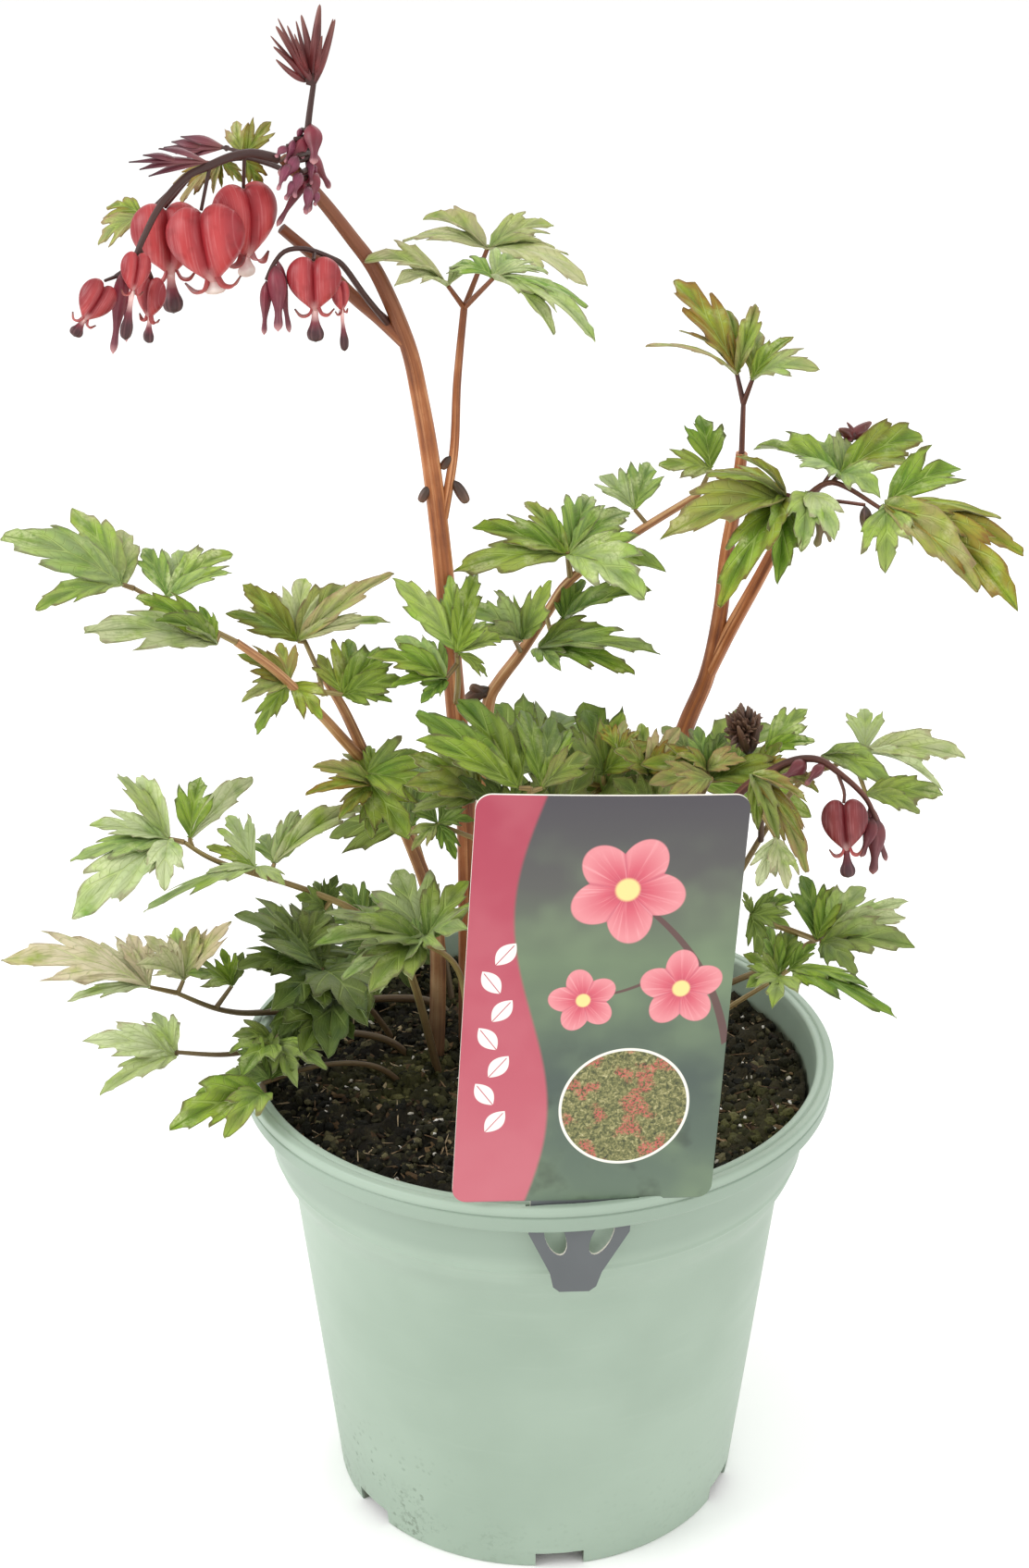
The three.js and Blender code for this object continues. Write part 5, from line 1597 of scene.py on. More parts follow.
def label_picture(f, x, z, place, colour):
    """The round picture of foliage with a few pink specks, in its pale ring."""
    middle_x, middle_z, radius = PICTURE
    frame_x, frame_z = (x - middle_x) / radius, (z - middle_z) / radius
    away = f.math("SQRT", frame_x * frame_x + frame_z * frame_z)
    speck = f.noise(place, 1.5, 3.0, 0.7)
    stops = [(0.3, (38, 42, 24)), (0.45, (88, 92, 48)), (0.58, (140, 136, 84)), (0.75, (206, 198, 152))]
    picture = f.ramp(f.noise(place, 0.75, 5.0, 0.75, 0.9) + (speck - 0.5) * 0.4, stops)
    pinks = f.step(f.noise(place, 0.12, 2.0), 0.5, 0.58) * f.step(speck, 0.44, 0.56)
    ring = f.step(away, 0.985, 0.995) * f.step(away, 1.04, 1.03)
    return f.layered(
        colour,
        (f.step(away, 1.0, 0.985), f.mix(pinks * 0.85, picture, (196, 84, 82))),
        (ring, (236, 234, 222)),
    )


def label_garland(f, x, z, colour):
    """White leaves up the rose band, leaning to one side and the other by turns."""
    for step in range(GARLAND["count"]):
        hand = 1 if step % 2 else -1
        middle = (GARLAND["x"] - hand * GARLAND["aside"], GARLAND["low"] + GARLAND["rise"] * step)
        leaf = leaf_mark(f, x, z, *middle, GARLAND["length"], 90 + hand * GARLAND["lean"])
        colour = f.mix(leaf, colour, (240, 232, 226))
    return colour


def label_finish():
    """A glossy printed sheet: a rose band, a dusky ground, a picture of foliage and pink blossoms."""
    f = Finish("printed_label")
    x, z, side = f.split(f.read("print"))
    place = f.joined(x, z, 0.0)
    haze = f.noise(place, 0.05, 2.0)
    colour = label_ground(f, x, z, place, haze)
    boughs = [(bough(f, x, z, *row) * 0.85, (92, 54, 56)) for row in BOUGHS]
    colour = f.layered(colour, *boughs, *(blossom(f, x, z, *row) for row in BLOSSOMS))
    colour = label_garland(f, x, z, label_picture(f, x, z, place, colour))
    foot = f.step(z, 0.4 - LABEL["skirt"], -0.4 - LABEL["skirt"])
    colour = f.layered(
        colour,
        (foot, f.mix(haze, (80, 84, 86), (96, 100, 102))),
        (f.step(side, 0.94, 0.8), (232, 226, 214)),
    )
    grain = f.noise(place, 6.0, 2.0)
    return f.set(
        base_color=colour,
        roughness=0.3 + grain * 0.12,
        normal=f.bump(grain, 0.00005, 0.3),
    )


# ---- studio ----

LENS = 63.7
CAMERA_PLACE = (0.0, -0.697, 0.534)
CAMERA_TILT = math.radians(90 - 24.2)
CAMERA_TURN = math.radians(0.53)
WORLD_GLOW = 1.04
FLOOR_HALF = 3.0

# Soft lights: place, what each is aimed at, size in metres and power in watts.
LIGHTS = {
    "key": ((-1.1, -0.45, 1.0), (0, 0, 0.2), 0.7, 9),
    "fill": ((1.0, -0.7, 0.8), (0, 0, 0.2), 0.9, 3),
    "back": ((0.3, 1.0, 1.1), (0, 0, 0.25), 0.8, 4),
}


def set_camera():
    camera = placed("camera", bpy.data.cameras.new("camera"))
    camera.data.lens = LENS
    camera.data.clip_start = 0.01
    camera.location = CAMERA_PLACE
    camera.rotation_euler = (CAMERA_TILT, 0, CAMERA_TURN)
    bpy.context.scene.camera = camera


def set_lights():
    for name, (place, aim, size, power) in LIGHTS.items():
        light = bpy.data.lights.new(name, "AREA")
        light.energy = power
        light.size = size
        holder = placed(name, light)
        holder.location = place
        holder.rotation_euler = (Vector(aim) - Vector(place)).to_track_quat("-Z", "Y").to_euler()


def set_studio():
    world = bpy.data.worlds.new("studio")
    world.use_nodes = True
    glow = world.node_tree.nodes["Background"].inputs
    glow["Color"].default_value = (1, 1, 1, 1)
    glow["Strength"].default_value = WORLD_GLOW
    bpy.context.scene.world = world
    bpy.context.scene.view_settings.view_transform = "Standard"
    bpy.context.scene.view_settings.look = "None"
    set_lights()
    mesh = bpy.data.meshes.new("floor")
    corners = [(x * FLOOR_HALF, y * FLOOR_HALF, 0) for x, y in ((-1, -1), (1, -1), (1, 1), (-1, 1))]
    mesh.from_pydata(corners, [], [(0, 1, 2, 3)])
    mesh.materials.append(floor_finish())
    placed("floor", mesh)


# ---- everything in its place ----

STEM_TREE = stem_tree()
LEAF_FINISH = leaf_finish()
PETAL_FINISH = petal_finish()

# Skins of stems: at the foot, in the grooves, over the body and on the ridges, and how rough.
SHOOT_FINISH = stem_finish("shoot_skin", (84, 54, 36), (108, 54, 24), (160, 92, 44), (216, 156, 108))
YOUNG_FINISH = stem_finish("young_shoot_skin", (78, 54, 36), (122, 76, 44), (172, 120, 74), (216, 180, 132))
STALK_FINISH = stem_finish("leaf_stalk_skin", (70, 52, 32), (104, 82, 46), (140, 118, 68), (176, 164, 106))
RACHIS_FINISH = stem_finish("flower_stalk_skin", (84, 44, 34), (54, 26, 20), (84, 42, 32), (130, 78, 56))
DRY_FINISH = stem_finish("dry_stalk_skin", (60, 42, 32), (60, 42, 32), (92, 68, 50), (130, 104, 80), 0.8)

set_camera()
set_studio()
build_pot()
build_soil()
strew_grains()
build_label()

# ---- shoots ----

# A stem is its route and its radius at its foot and at its tip. A bud's row is where it hangs, its other
# tip, its width and, where it isn't the usual one, the word for its look.

plant_shoot("shoot_tall", [
    stem([[-20, 18, 118], [-20, 18, 197], [-23, 18, 236], [-26, 20, 275], [-29, 20, 305], [-32, 20, 325],
        [-35, 18, 340], [-42, 14, 359], [-49, 12, 370], [-57, 10, 381], [-65, 6, 391]], 3.2, 1.5),
    stem([[-35, 18, 340], [-42, 17, 347], [-49, 14, 354], [-57, 10, 364], [-66, 7, 373]], 2, 1.4),
], [
    (-29.6, 18.5, 300.6, -32.1, 17.5, 296.2, 2.5), (-23.1, 20.5, 301.5, -19.4, 19.5, 295.3, 3),
    (-23.8, 21, 308.1, -26.4, 20.5, 304.6, 2.3),
])
plant_shoot("shoot_middle", [
    stem([[-12, 27, 118], [-16, 32, 173], [-15, 36, 214], [-14.3, 38, 229], [-11.2, 39, 235.5], [-5, 40, 244],
        [3, 40, 257], [9, 40, 266], [25, 44, 277], [45, 50, 288]], 2.6, 1.2),
], [
    (-13.9, 38, 233.9, -20.8, 36, 230.7, 4), (-14, 38, 230.8, -19.4, 36, 235.3, 3.2),
])
plant_shoot("shoot_right", [
    stem([[16, 24, 118], [27, 32, 167], [35, 34, 196], [42, 36, 222], [48, 36, 239], [51, 34, 259],
        [52, 32, 276], [54, 30, 293], [55, 28, 307]], 3.1, 1.6),
    stem([[48, 36, 239], [54, 33, 254], [61, 28, 271], [66, 22, 285], [70, 18, 294]], 2.2, 1.4),
])
plant_shoot("shoot_left", [
    stem([[-30, 13, 118], [-29, 14, 167], [-36, 14, 196], [-46, 8, 221], [-53, 5, 240],
        [-58, 4, 250]], 2.8, 1.3),
    stem([[-46, 8, 221], [-53, 1, 233], [-59, -4, 243], [-70, -8, 257], [-80, -12, 267]], 1.9, 1.2),
])

# ---- leaves ----

# Each leaf has its stalks, then its hubs. A hub's rows are the tips of its leaflets, each with its width in
# hundredths of its length. Where a leaflet's tone is its own, bronze, pale and dark follow in hundredths;
# dark is painted shade, for leaves deep in the plant's shade.

plant_leaf("leaf_tall", (35, 42, 5), [
    stem([[-26, 20, 291], [-23, 22, 309], [-22, 24, 328], [-20, 24, 348]], 1.9, 1.3),
], {
    (-14, 36, 361): [(-31, 44, 369, 36), (-36, 34, 366, 34), (4, 50, 365, 40), (13, 20, 358, 36),
        (4, 36, 362, 36)],
    (-24, 16, 356): [(-44, 10, 366, 42), (-37, 4, 361, 36), (-16, 24, 361, 50, 5, 25, 5)],
    (-12, 12, 359): [(16, -8, 351, 40, 20, 40, 5), (12, 0, 356, 36, 10, 40, 0), (2, 14, 361, 50, 5, 30, 5),
        (-23, 22, 361, 50, 5, 25, 10), (-7, 26, 362, 50, 10, 20, 10), (2, -10, 353, 40, 5, 35, 0)],
})
plant_leaf("leaf_bronze", (95, 5, 0), [
    stem([[55, 28, 307], [55, 28, 315], [55, 28, 321]], 1.1, 0.9),
], {
    (53, 28, 329): [(35, 42, 351, 34, 95, 0, 0), (30, 14, 342, 32), (52, 44, 344, 36, 75, 0, 5),
        (59, 40, 346, 34, 60, 5, 0), (39, 26, 343, 34, 80, 0, 5)],
    (57, 26, 328): [(60, 40, 339, 36, 60, 10, 10), (67, 28, 340, 36, 50, 10, 0),
        (73, 14, 337, 42, 35, 20, 0)],
})
plant_leaf("leaf_right_inner", (10, 10, 10), [
    stem([[45, 50, 288], [48, 48, 296]], 1.1, 0.7),
], {
    (48, 48, 296): [(45, 58, 309, 60), (34, 42, 299, 60)],
})
plant_leaf("leaf_middle_far", (0, 35, 0), [
    stem([[31, 45, 280], [27, 48, 284]], 0.9, 0.7),
], {
    (27, 48, 284): [(25, 62, 294, 50, PAIR)],
})
plant_leaf("leaf_right", (40, 2, 8), [
    stem([[70, 18, 294], [71, 17, 297], [65, 14, 300]], 1.3, 1),
    stem([[71, 17, 297], [79, 18, 302], [91, 8, 298]], 1.3, 0.8),
], {
    (66, 14, 299): [(35, -10, 297, 46, 50, 0, 0), (46, 20, 306, 42, 55, 0, 0), (53, 4, 314, 50, 45, 0, 0),
        (45, 0, 312, 42, 55, 0, 0), (46, -20, 285, 60, 30, 5, 0), (60, -16, 287, 42, 20, 10, 5)],
    (72, 12, 301): [(69, -10, 294, 50, 0, 35, 0), (78, -8, 298, 45, 0, 45, 0)],
    (92, 8, 299): [(112, 20, 307, 50, 15, 0, 10), (125, -24, 286, 36, 80, 0, 5),
        (120, -8, 302, 36, 35, 0, 0), (92, -14, 289, 55, 10, 30, 0), (124, -16, 294, 32, 65, 0, 0),
        (111, -24, 288, 26, 40, 40, 0)],
    (81, 22, 303): [(106, 34, 311, 42, 25, 0, 0), (59, 38, 307, 42, 10, 10, 15),
        (72, 42, 306, 50, 0, 35, 10), (102, 24, 307, 30, 35, 0, 10), (70, 8, 310, 50, 10, 35, 10),
        (89, 44, 305, 42, 10, 20, 10), (89, 4, 304, 45, 0, 20, 15)],
})
plant_leaf("leaf_middle_top", (12, 20, 0), [
    stem([[9, 40, 266], [8, 38, 275]], 1.3, 1),
], {
    (8, 38, 274): [(-18, 34, 283, 34, 25, 0, 20), (-22, 22, 275, 27, 10, 10, 10),
        (-4, 52, 286, 30, 20, 10, 20), (16, 60, 286, 42, 0, 35, 0), (25, 54, 284, 32, 10, 0, 10),
        (34, 26, 277, 38, 0, 30, 0), (29, 10, 273, 42, 0, 45, 0)],
})
plant_leaf("leaf_middle_right", (10, 0, 40), [
    stem([[2, 40, 256], [4, 31, 251]], 1, 0.8),
], {
    (7, 34, 256): [(13, 44, 265, 40, 10, 0, 45), (30, 20, 269, 26, 10, 0, 50),
        (6, 46, 260, 30, 0, 20, 10)],
    (0, 30, 249): [(20, 24, 258, 38, 30, 0, 35), (31, 8, 256, 40, 15, 0, 30), (5, 16, 249, 60, 0, 20, 15),
        (24, 12, 250, 30, 10, 0, 40)],
})
plant_leaf("leaf_middle_left", (5, 10, 15), [
    stem([[-5, 40, 244], [-7, 28, 253]], 1, 0.8),
], {
    (-5, 28, 252): [(-19, 20, 267, 46), (-11, 32, 266, 42, 0, 10, 30), (4, 26, 270, 38, 0, 25, 5),
        (-17, 14, 260, 30)],
})
plant_leaf("leaf_tall_low", (5, 15, 20), [
    stem([[-23, 18, 236], [-22, 8, 248], [-22, 4, 257]], 1.3, 0.9),
], {
    (-22, 4, 258): [(-38, 12, 278, 32, 0, 20, 0), (-25, 16, 276, 42, 0, 30, 0),
        (-19, 22, 276, 42, 10, 5, 25), (-15, 12, 265, 40, 0, 15, 5), (-9, 14, 258, 30, 5, 0, 20),
        (-13, 4, 252, 40, 5, 0, 20)],
    (-25, 0, 252): [(-45, -4, 262, 36, 15, 0, 30), (-39, 4, 262, 36, 5, 10, 15),
        (-32, 10, 260, 42, 0, 5, 20), (-38, -10, 254, 36, 0, 0, 25), (-31, -10, 249, 50, 0, 15, 15)],
})
plant_leaf("leaf_left_far", (10, 22, 0), [
    stem([[-80, -12, 267], [-93, -16, 276], [-105, -20, 285]], 1.2, 0.8),
], {
    (-108, -20, 286): [(-135, -28, 303, 30), (-121, -6, 303, 42), (-110, 2, 295, 32, 20, 20, 0),
        (-127, -38, 287, 28, 30, 30, 10)],
    (-97, -16, 281): [(-104, -2, 291, 36), (-93, 4, 289, 45, 0, 55, 0), (-82, 0, 290, 40),
        (-81, -10, 287, 28)],
    (-85, -16, 268): [(-114, -40, 280, 26, 25, 50, 10), (-103, -24, 285, 42, 20, 0, 15),
        (-89, -10, 277, 42, 15, 0, 30), (-98, -32, 281, 30, 20, 0, 20)],
})
plant_leaf("leaf_left_cluster", (40, 0, 22), [
    stem([[-58, 4, 250], [-60, 4, 253], [-64, 12, 258]], 1.2, 0.9),
    stem([[-60, 4, 253], [-58, -5, 249]], 1, 0.8),
], {
    (-66, 12, 258): [(-81, 20, 272, 42, 50, 0, 45), (-84, 6, 269, 34, 40, 0, 35),
        (-66, 30, 271, 42, 10, 30, 0), (-54, 28, 270, 34, 35, 10, 10), (-39, 20, 274, 22, 60, 35, 0),
        (-41, 10, 266, 20, 30, 50, 0), (-75, 26, 267, 36, 50, 0, 30)],
    (-67, -4, 252): [(-80, -8, 262, 44, 50, 0, 25), (-78, -16, 253, 44, 30, 0, 25),
        (-76, -16, 243, 44, 10, 0, 25), (-70, 4, 261, 55, 65, 0, 5), (-57, -14, 247, 46, 15, 0, 10)],
    (-53, -2, 248): [(-40, 8, 259, 40, 10, 0, 30), (-50, 14, 258, 42, 30, 0, 20),
        (-35, -4, 254, 40, 10, 0, 30), (-40, -10, 249, 40, 10, 0, 35), (-60, 6, 257, 46, 40, 5, 20)],
})
plant_leaf("leaf_left_knee", (30, 0, 35), [
    stem([[-46, 8, 221], [-48, -1, 224]], 1.1, 0.9),
], {
    (-45, -2, 221): [(-61, -16, 225, 24, 80, 10, 0), (-60, -8, 230, 26, 65, 10, 0),
        (-54, -16, 219, 34, 60, 0, 20), (-54, 6, 228, 34, 40, 0, 30), (-47, 8, 229, 36, 20, 0, 40)],
    (-48, -1, 224): [(-32, -2, 231, 65), (-26, -14, 224, 60), (-35, -16, 212, 50)],
    (-45, 0, 218): [(-40, 6, 225, 50, 30, 0, 40), (-36, -8, 219, 50, 20, 0, 60),
        (-46, -14, 212, 40, 30, 0, 50)],
})
plant_leaf("leaf_low_left_a", (5, 62, 0), [
    stem([[-27, 5, 118], [-37, -2, 166], [-49, -8, 184], [-64, -12, 194], [-86, -20, 206],
        [-95, -24, 214]], 1.7, 0.8),
], {
    (-99, -24, 215): [(-115, -8, 227, 60, 0, 40, 0), (-110, -2, 224, 50, 0, 60, 0),
        (-120, -26, 219, 45, 0, 85, 0), (-123, -38, 216, 30, 0, 40, 5), (-120, -52, 205, 32, 0, 55, 0),
        (-99, -42, 210, 46, 0, 75, 0)],
    (-94, -20, 213): [(-92, -8, 227, 50, 5, 10, 30), (-78, 0, 223, 13, 10, 90, 0)],
    (-77, -17, 203): [(-86, -2, 212, 42, 0, 50, 5), (-90, -14, 209, 28, 30, 30, 10),
        (-103, -39, 203, 24, 10, 50, 10), (-89, -26, 206, 20, 10, 60, 5), (-68, -26, 204, 40, 10, 30, 10)],
    (-72, -14, 203): [(-77, -2, 207, 50, 10, 50, 5), (-67, 2, 212, 42, 0, 70, 0),
        (-59, 4, 212, 36, 0, 45, 5), (-50, 6, 214, 30, 10, 45, 5)],
    (-59, -10, 187): [(-62, -2, 192, 60, 10, 0, 90), (-56, -4, 195, 50, 10, 0, 85),
        (-66, -16, 194, 50, 10, 0, 70)],
})
plant_leaf("leaf_low_left_b", (45, 95, 0), [
    stem([[-24, 34, 118], [-29, 38, 130], [-46, 32, 136], [-78, 18, 139], [-91, 8, 145],
        [-103, 0, 155]], 2, 0.9),
], {
    (-110, -4, 159): [(-147, -14, 177, 40), (-128, -24, 165, 14, 10, 100, 0), (-128, 4, 169, 46),
        (-118, 10, 169, 44, 60, 80, 0)],
    (-101, 2, 158): [(-105, 12, 170, 46, 10, 35, 15), (-88, 14, 171, 36, 60, 75, 0),
        (-97, 12, 170, 46, 50, 45, 5), (-111, 6, 171, 50, 50, 90, 0), (-112, -6, 169, 40, 40, 90, 0)],
    (-88, 8, 153): [(-99, 0, 163, 50, 0, 15, 20), (-91, 12, 163, 50, 0, 20, 30),
        (-85, 14, 161, 40, 20, 0, 60)],
})
plant_leaf("leaf_low_left_c", (0, 75, 0), [
    stem([[-34, 16, 118], [-42, 12, 132], [-58, 4, 140], [-77, -10, 143], [-88, -16, 144],
        [-101, -20, 147]], 1.7, 0.8),
], {
    (-101, -20, 146): [(-124, -28, 158, 34), (-108, -8, 154, 50), (-118, -40, 147, 30, 10, 70, 0)],
})
plant_leaf("leaf_rim_left", (0, 15, 5), [
    stem([[-34, 2, 118], [-45, -6, 134], [-60, -18, 142], [-76, -32, 144]], 1.4, 0.8),
], {
    (-75, -34, 142): [(-99, -54, 145, 30, 10, 10, 15), (-93, -40, 146, 28, 0, 30, 0),
        (-82, -58, 146, 36, 10, 0, 25)],
    (-74, -30, 144): [(-84, -16, 151, 50, 10, 0, 60), (-85, -34, 150, 50, 10, 0, 45),
        (-77, -12, 150, 50, 10, 0, 70), (-66, -24, 149, 50, 10, 0, 80)],
})
plant_leaf("leaf_low_dark", (10, 0, 95), [
    stem([[-38, 24, 118], [-49, 20, 139], [-62, 12, 156]], 1.4, 0.8),
], {
    (-62, 12, 156): [(-83, -6, 171, 60, PAIR), (-69, 30, 173, 65), (-47, -16, 158, 60),
        (-80, 24, 172, 50)],
    (-58, 14, 150): [(-75, -14, 147, 65), (-59, -26, 151, 60)],
    (-69, 10, 160): [(-78, 0, 174, 50), (-83, -8, 167, 45), (-75, 14, 174, 50), (-62, 26, 171, 50),
        (-55, 30, 159, 50)],
    (-60, 0, 150): [(-72, -14, 151, 50), (-64, -26, 150, 50), (-51, -14, 149, 45), (-50, 6, 150, 50)],
    (-74, -14, 147): [(-84, -22, 154, 50, 10, 10, 60), (-81, -36, 150, 50, 10, 10, 60),
        (-67, -34, 147, 50, 5, 15, 60), (-60, -28, 148, 45, 5, 30, 40)],
})
plant_leaf("leaf_low_centre", (10, 30, 35), [
    stem([[-19, -4, 118], [-21, -14, 167], [-31, -24, 184]], 1.4, 1),
], {
    (-31, -24, 184): [(-56, -34, 199, 50), (-45, -50, 186, 50), (-39, -6, 198, 60), (-19, -16, 199, 60),
        (-20, -42, 197, 50), (-56, -46, 197, 35)],
    (-31, -24, 186): [(-57, -34, 191, 36, 10, 70, 10), (-52, -40, 183, 34, 5, 55, 10),
        (-43, -44, 182, 30, 5, 50, 10), (-46, -10, 193, 40, 0, 20, 30)],
})
plant_leaf("leaf_row_left", (20, 0, 72), [
    stem([[-9, -6, 118], [-5, -20, 193], [-2, -32, 234]], 1.4, 1),
], {
    (-7, -24, 222): [(-21, -26, 234, 55, 20, 0, 95), (-14, -22, 234, 55, 30, 0, 90),
        (-5, -22, 233, 55, 20, 0, 95), (2, -24, 231, 50, 30, 0, 90)],
    (-16, -20, 226): [(-33, -26, 242, 42, 30, 25, 20), (-34, -32, 237, 36, 20, 30, 20),
        (-26, -12, 238, 42, 50, 10, 30), (-20, -12, 237, 36, 65, 0, 40), (-31, -34, 229, 40, 20, 0, 60)],
    (-5, -32, 234): [(-32, -24, 252, 42, 10, 5, 50), (-20, -12, 252, 40, 15, 0, 60),
        (-11, -8, 246, 34, 10, 10, 40), (-31, -34, 248, 30, 20, 20, 30)],
    (1, -30, 233): [(-4, -6, 247, 40, 10, 0, 65), (4, -6, 244, 36, 10, 0, 70),
        (10, -12, 243, 36, 10, 10, 50), (14, -22, 240, 40, 50, 0, 40)],
    (-27, -14, 215): [(-34, -8, 220, 50, 20, 0, 70), (-21, -6, 222, 50, 10, 0, 60),
        (-17, -18, 219, 45, 10, 0, 60), (-34, -22, 212, 50, 50, 0, 50), (-22, -24, 210, 40, 10, 0, 70)],
})
plant_leaf("leaf_row_middle", (20, 0, 72), [
    stem([[0, 33, 118], [11, 30, 168], [19, 20, 211]], 1.4, 1),
], {
    (4, -4, 212): [(-8, -2, 225, 55, 20, 0, 90), (-1, 4, 226, 50, 20, 0, 95), (8, 4, 227, 50, 30, 0, 90),
        (15, -4, 227, 50, 50, 0, 80)],
    (32, -6, 215): [(21, -6, 226, 55, 30, 0, 90), (29, 2, 227, 50, 60, 0, 70), (37, 0, 227, 50, 70, 0, 60),
        (44, -8, 226, 50, 70, 0, 70)],
    (22, 4, 229): [(18, 10, 235, 50, 85, 0, 20), (24, 10, 236, 45, 70, 20, 10),
        (28, 6, 234, 50, 90, 10, 10)],
    (19, 20, 211): [(14, 38, 230, 60, TRIO)],
    (17, 22, 203): [(4, 26, 228, 55), (30, 6, 231, 55)],
    (18, 6, 221): [(12, 18, 236, 50), (24, 12, 237, 50, 20, 10, 40), (30, 2, 233, 50, 70, 10, 20),
        (8, 0, 234, 50)],
    (30, 0, 224): [(39, 4, 236, 50, 80, 20, 0), (28, 10, 235, 45, 50, 10, 20),
        (41, -6, 233, 45, 80, 10, 10), (22, -8, 234, 45, 60, 10, 30)],
    (2, 2, 223): [(-4, 12, 238, 50), (5, 8, 237, 50, 10, 10, 60), (-9, 0, 234, 50)],
})
plant_leaf("leaf_row_right", (40, 0, 48), [
    stem([[8, 14, 118], [31, 8, 179], [47, -2, 223]], 1.5, 1),
], {
    (47, -2, 223): [(34, 12, 234, 60), (56, 15, 230, 50, PAIR), (69, -14, 229, 40), (30, -10, 232, 50)],
    (46, -2, 226): [(43, 6, 236, 50, 10, 5, 40), (52, 4, 235, 45, 10, 5, 50),
        (56, -8, 232, 45, 70, 10, 10), (38, -8, 234, 45, 70, 10, 10)],
    (60, -4, 225): [(69, -10, 233, 40, 80, 10, 10), (66, 0, 234, 45, 30, 10, 40),
        (71, -14, 229, 35, 80, 0, 30)],
    (47, -10, 227): [(30, -14, 228, 40, 80, 10, 20), (36, -20, 227, 40, 60, 30, 10)],
})
plant_leaf("leaf_right_small", (0, 10, 10), [
    stem([[41, 35, 219], [57, 20, 217], [63, 12, 225]], 1, 0.8),
], {
    (63, 12, 226): [(76, 20, 235, 44, 0, 20, 0), (76, 8, 230, 34, 0, 10, 5)],
})
plant_leaf("leaf_right_far", (10, 75, 0), [
    stem([[30, 24, 118], [56, 24, 177], [73, 22, 210], [84, 20, 218], [92, 20, 222]], 1.4, 0.7),
], {
    (92, 20, 222): [(94, 34, 230, 55, 0, 85, 0), (117, 4, 227, 20, 20, 80, 0),
        (114, 12, 228, 26, 0, 75, 0), (110, 0, 222, 18, 0, 100, 0)],
    (80, 20, 221): [(98, 4, 221, 36, 10, 5, 30), (95, 10, 224, 30, 20, 0, 40)],
    (91, 4, 216): [(112, 2, 217, 36, 10, 10, 15), (109, 8, 218, 30, 10, 20, 5),
        (105, -4, 216, 26, 10, 10, 20)],
})
plant_raceme("raceme_right", [
    stem([[27, 13, 118], [41, -4, 185], [52, -14, 221], [64, -20, 235], [73, -26, 240], [80, -30, 237],
        [86, -33, 232], [89, -34, 226]], 1.5, 0.6),
    stem([[79, -30, 237], [80, -36, 235], [80, -36, 232]], 0.5, 0.45),
], [
    (88, -34, 227, 85, -38, 217, 4.6, "dark"), (89, -34, 227, 89, -34, 210, 4.8, "dark"),
    (87, -33, 230, 93, -30, 212, 4.2, "dark"), (71, -25, 239, 64, -30, 236, 4, "dark"),
    (75, -27, 239, 70, -34, 236, 4, "dark"),
])
plant_leaf("leaf_label_right", (70, 30, 5), [
    stem([[52, -14, 221], [56, -26, 228], [61, -34, 235]], 1.1, 0.9),
], {
    (56, -34, 239): [(72, -50, 221, 28, 90, 0, 30), (67, -54, 231, 34, 70, 0, 35),
        (69, -46, 237, 36, 95, 10, 10), (61, -56, 232, 42, 45, 5, 35), (57, -50, 232, 42, 20, 10, 40)],
    (63, -32, 220): [(58, -44, 212, 50, 10, 100, 0), (65, -46, 212, 62, 15, 70, 0)],
    (64, -20, 233): [(74, -30, 234, 32, 90, 10, 20), (72, -14, 235, 32, 90, 10, 30)],
})
plant_leaf("leaf_low_right_a", (12, 10, 40), [
    stem([[22, 5, 118], [48, 6, 150], [65, 0, 164], [78, -6, 176], [86, -8, 181]], 1.5, 0.7),
], {
    (78, -8, 177): [(76, 8, 190, 42, 10, 0, 50), (84, 2, 189, 38, 10, 10, 35)],
    (81, -8, 178): [(91, 4, 189, 50, 0, 50, 5), (102, -6, 190, 24, 10, 80, 0),
        (101, -12, 188, 24, 10, 60, 5)],
    (79, -10, 177): [(96, -14, 186, 32, 10, 0, 50), (101, -24, 184, 42, 15, 0, 50),
        (86, -30, 181, 38, 10, 0, 60)],
    (58, -22, 191): [(70, -18, 196, 42, 15, 0, 50), (68, -26, 195, 36, 10, 10, 50)],
    (58, -24, 193): [(68, -30, 193, 50, 10, 0, 70), (66, -20, 196, 45, 10, 0, 60),
        (56, -22, 199, 40, 10, 0, 60), (60, -34, 186, 40, 10, 0, 70)],
})
plant_leaf("leaf_low_right_b", (15, 0, 55), [
    stem([[18, -6, 118], [47, -14, 153], [64, -22, 171]], 1.4, 0.8),
], {
    (69, -24, 176): [(88, -42, 182, 32, 10, 5, 40), (91, -54, 180, 34, 10, 5, 45),
        (77, -20, 182, 40, 10, 0, 60)],
    (66, -24, 174): [(63, -8, 183, 42, 10, 0, 60), (70, -8, 181, 42, 10, 0, 65),
        (57, -26, 182, 50, 10, 10, 50), (56, -36, 178, 50, 10, 35, 30), (64, -44, 176, 50, 0, 30, 30)],
})
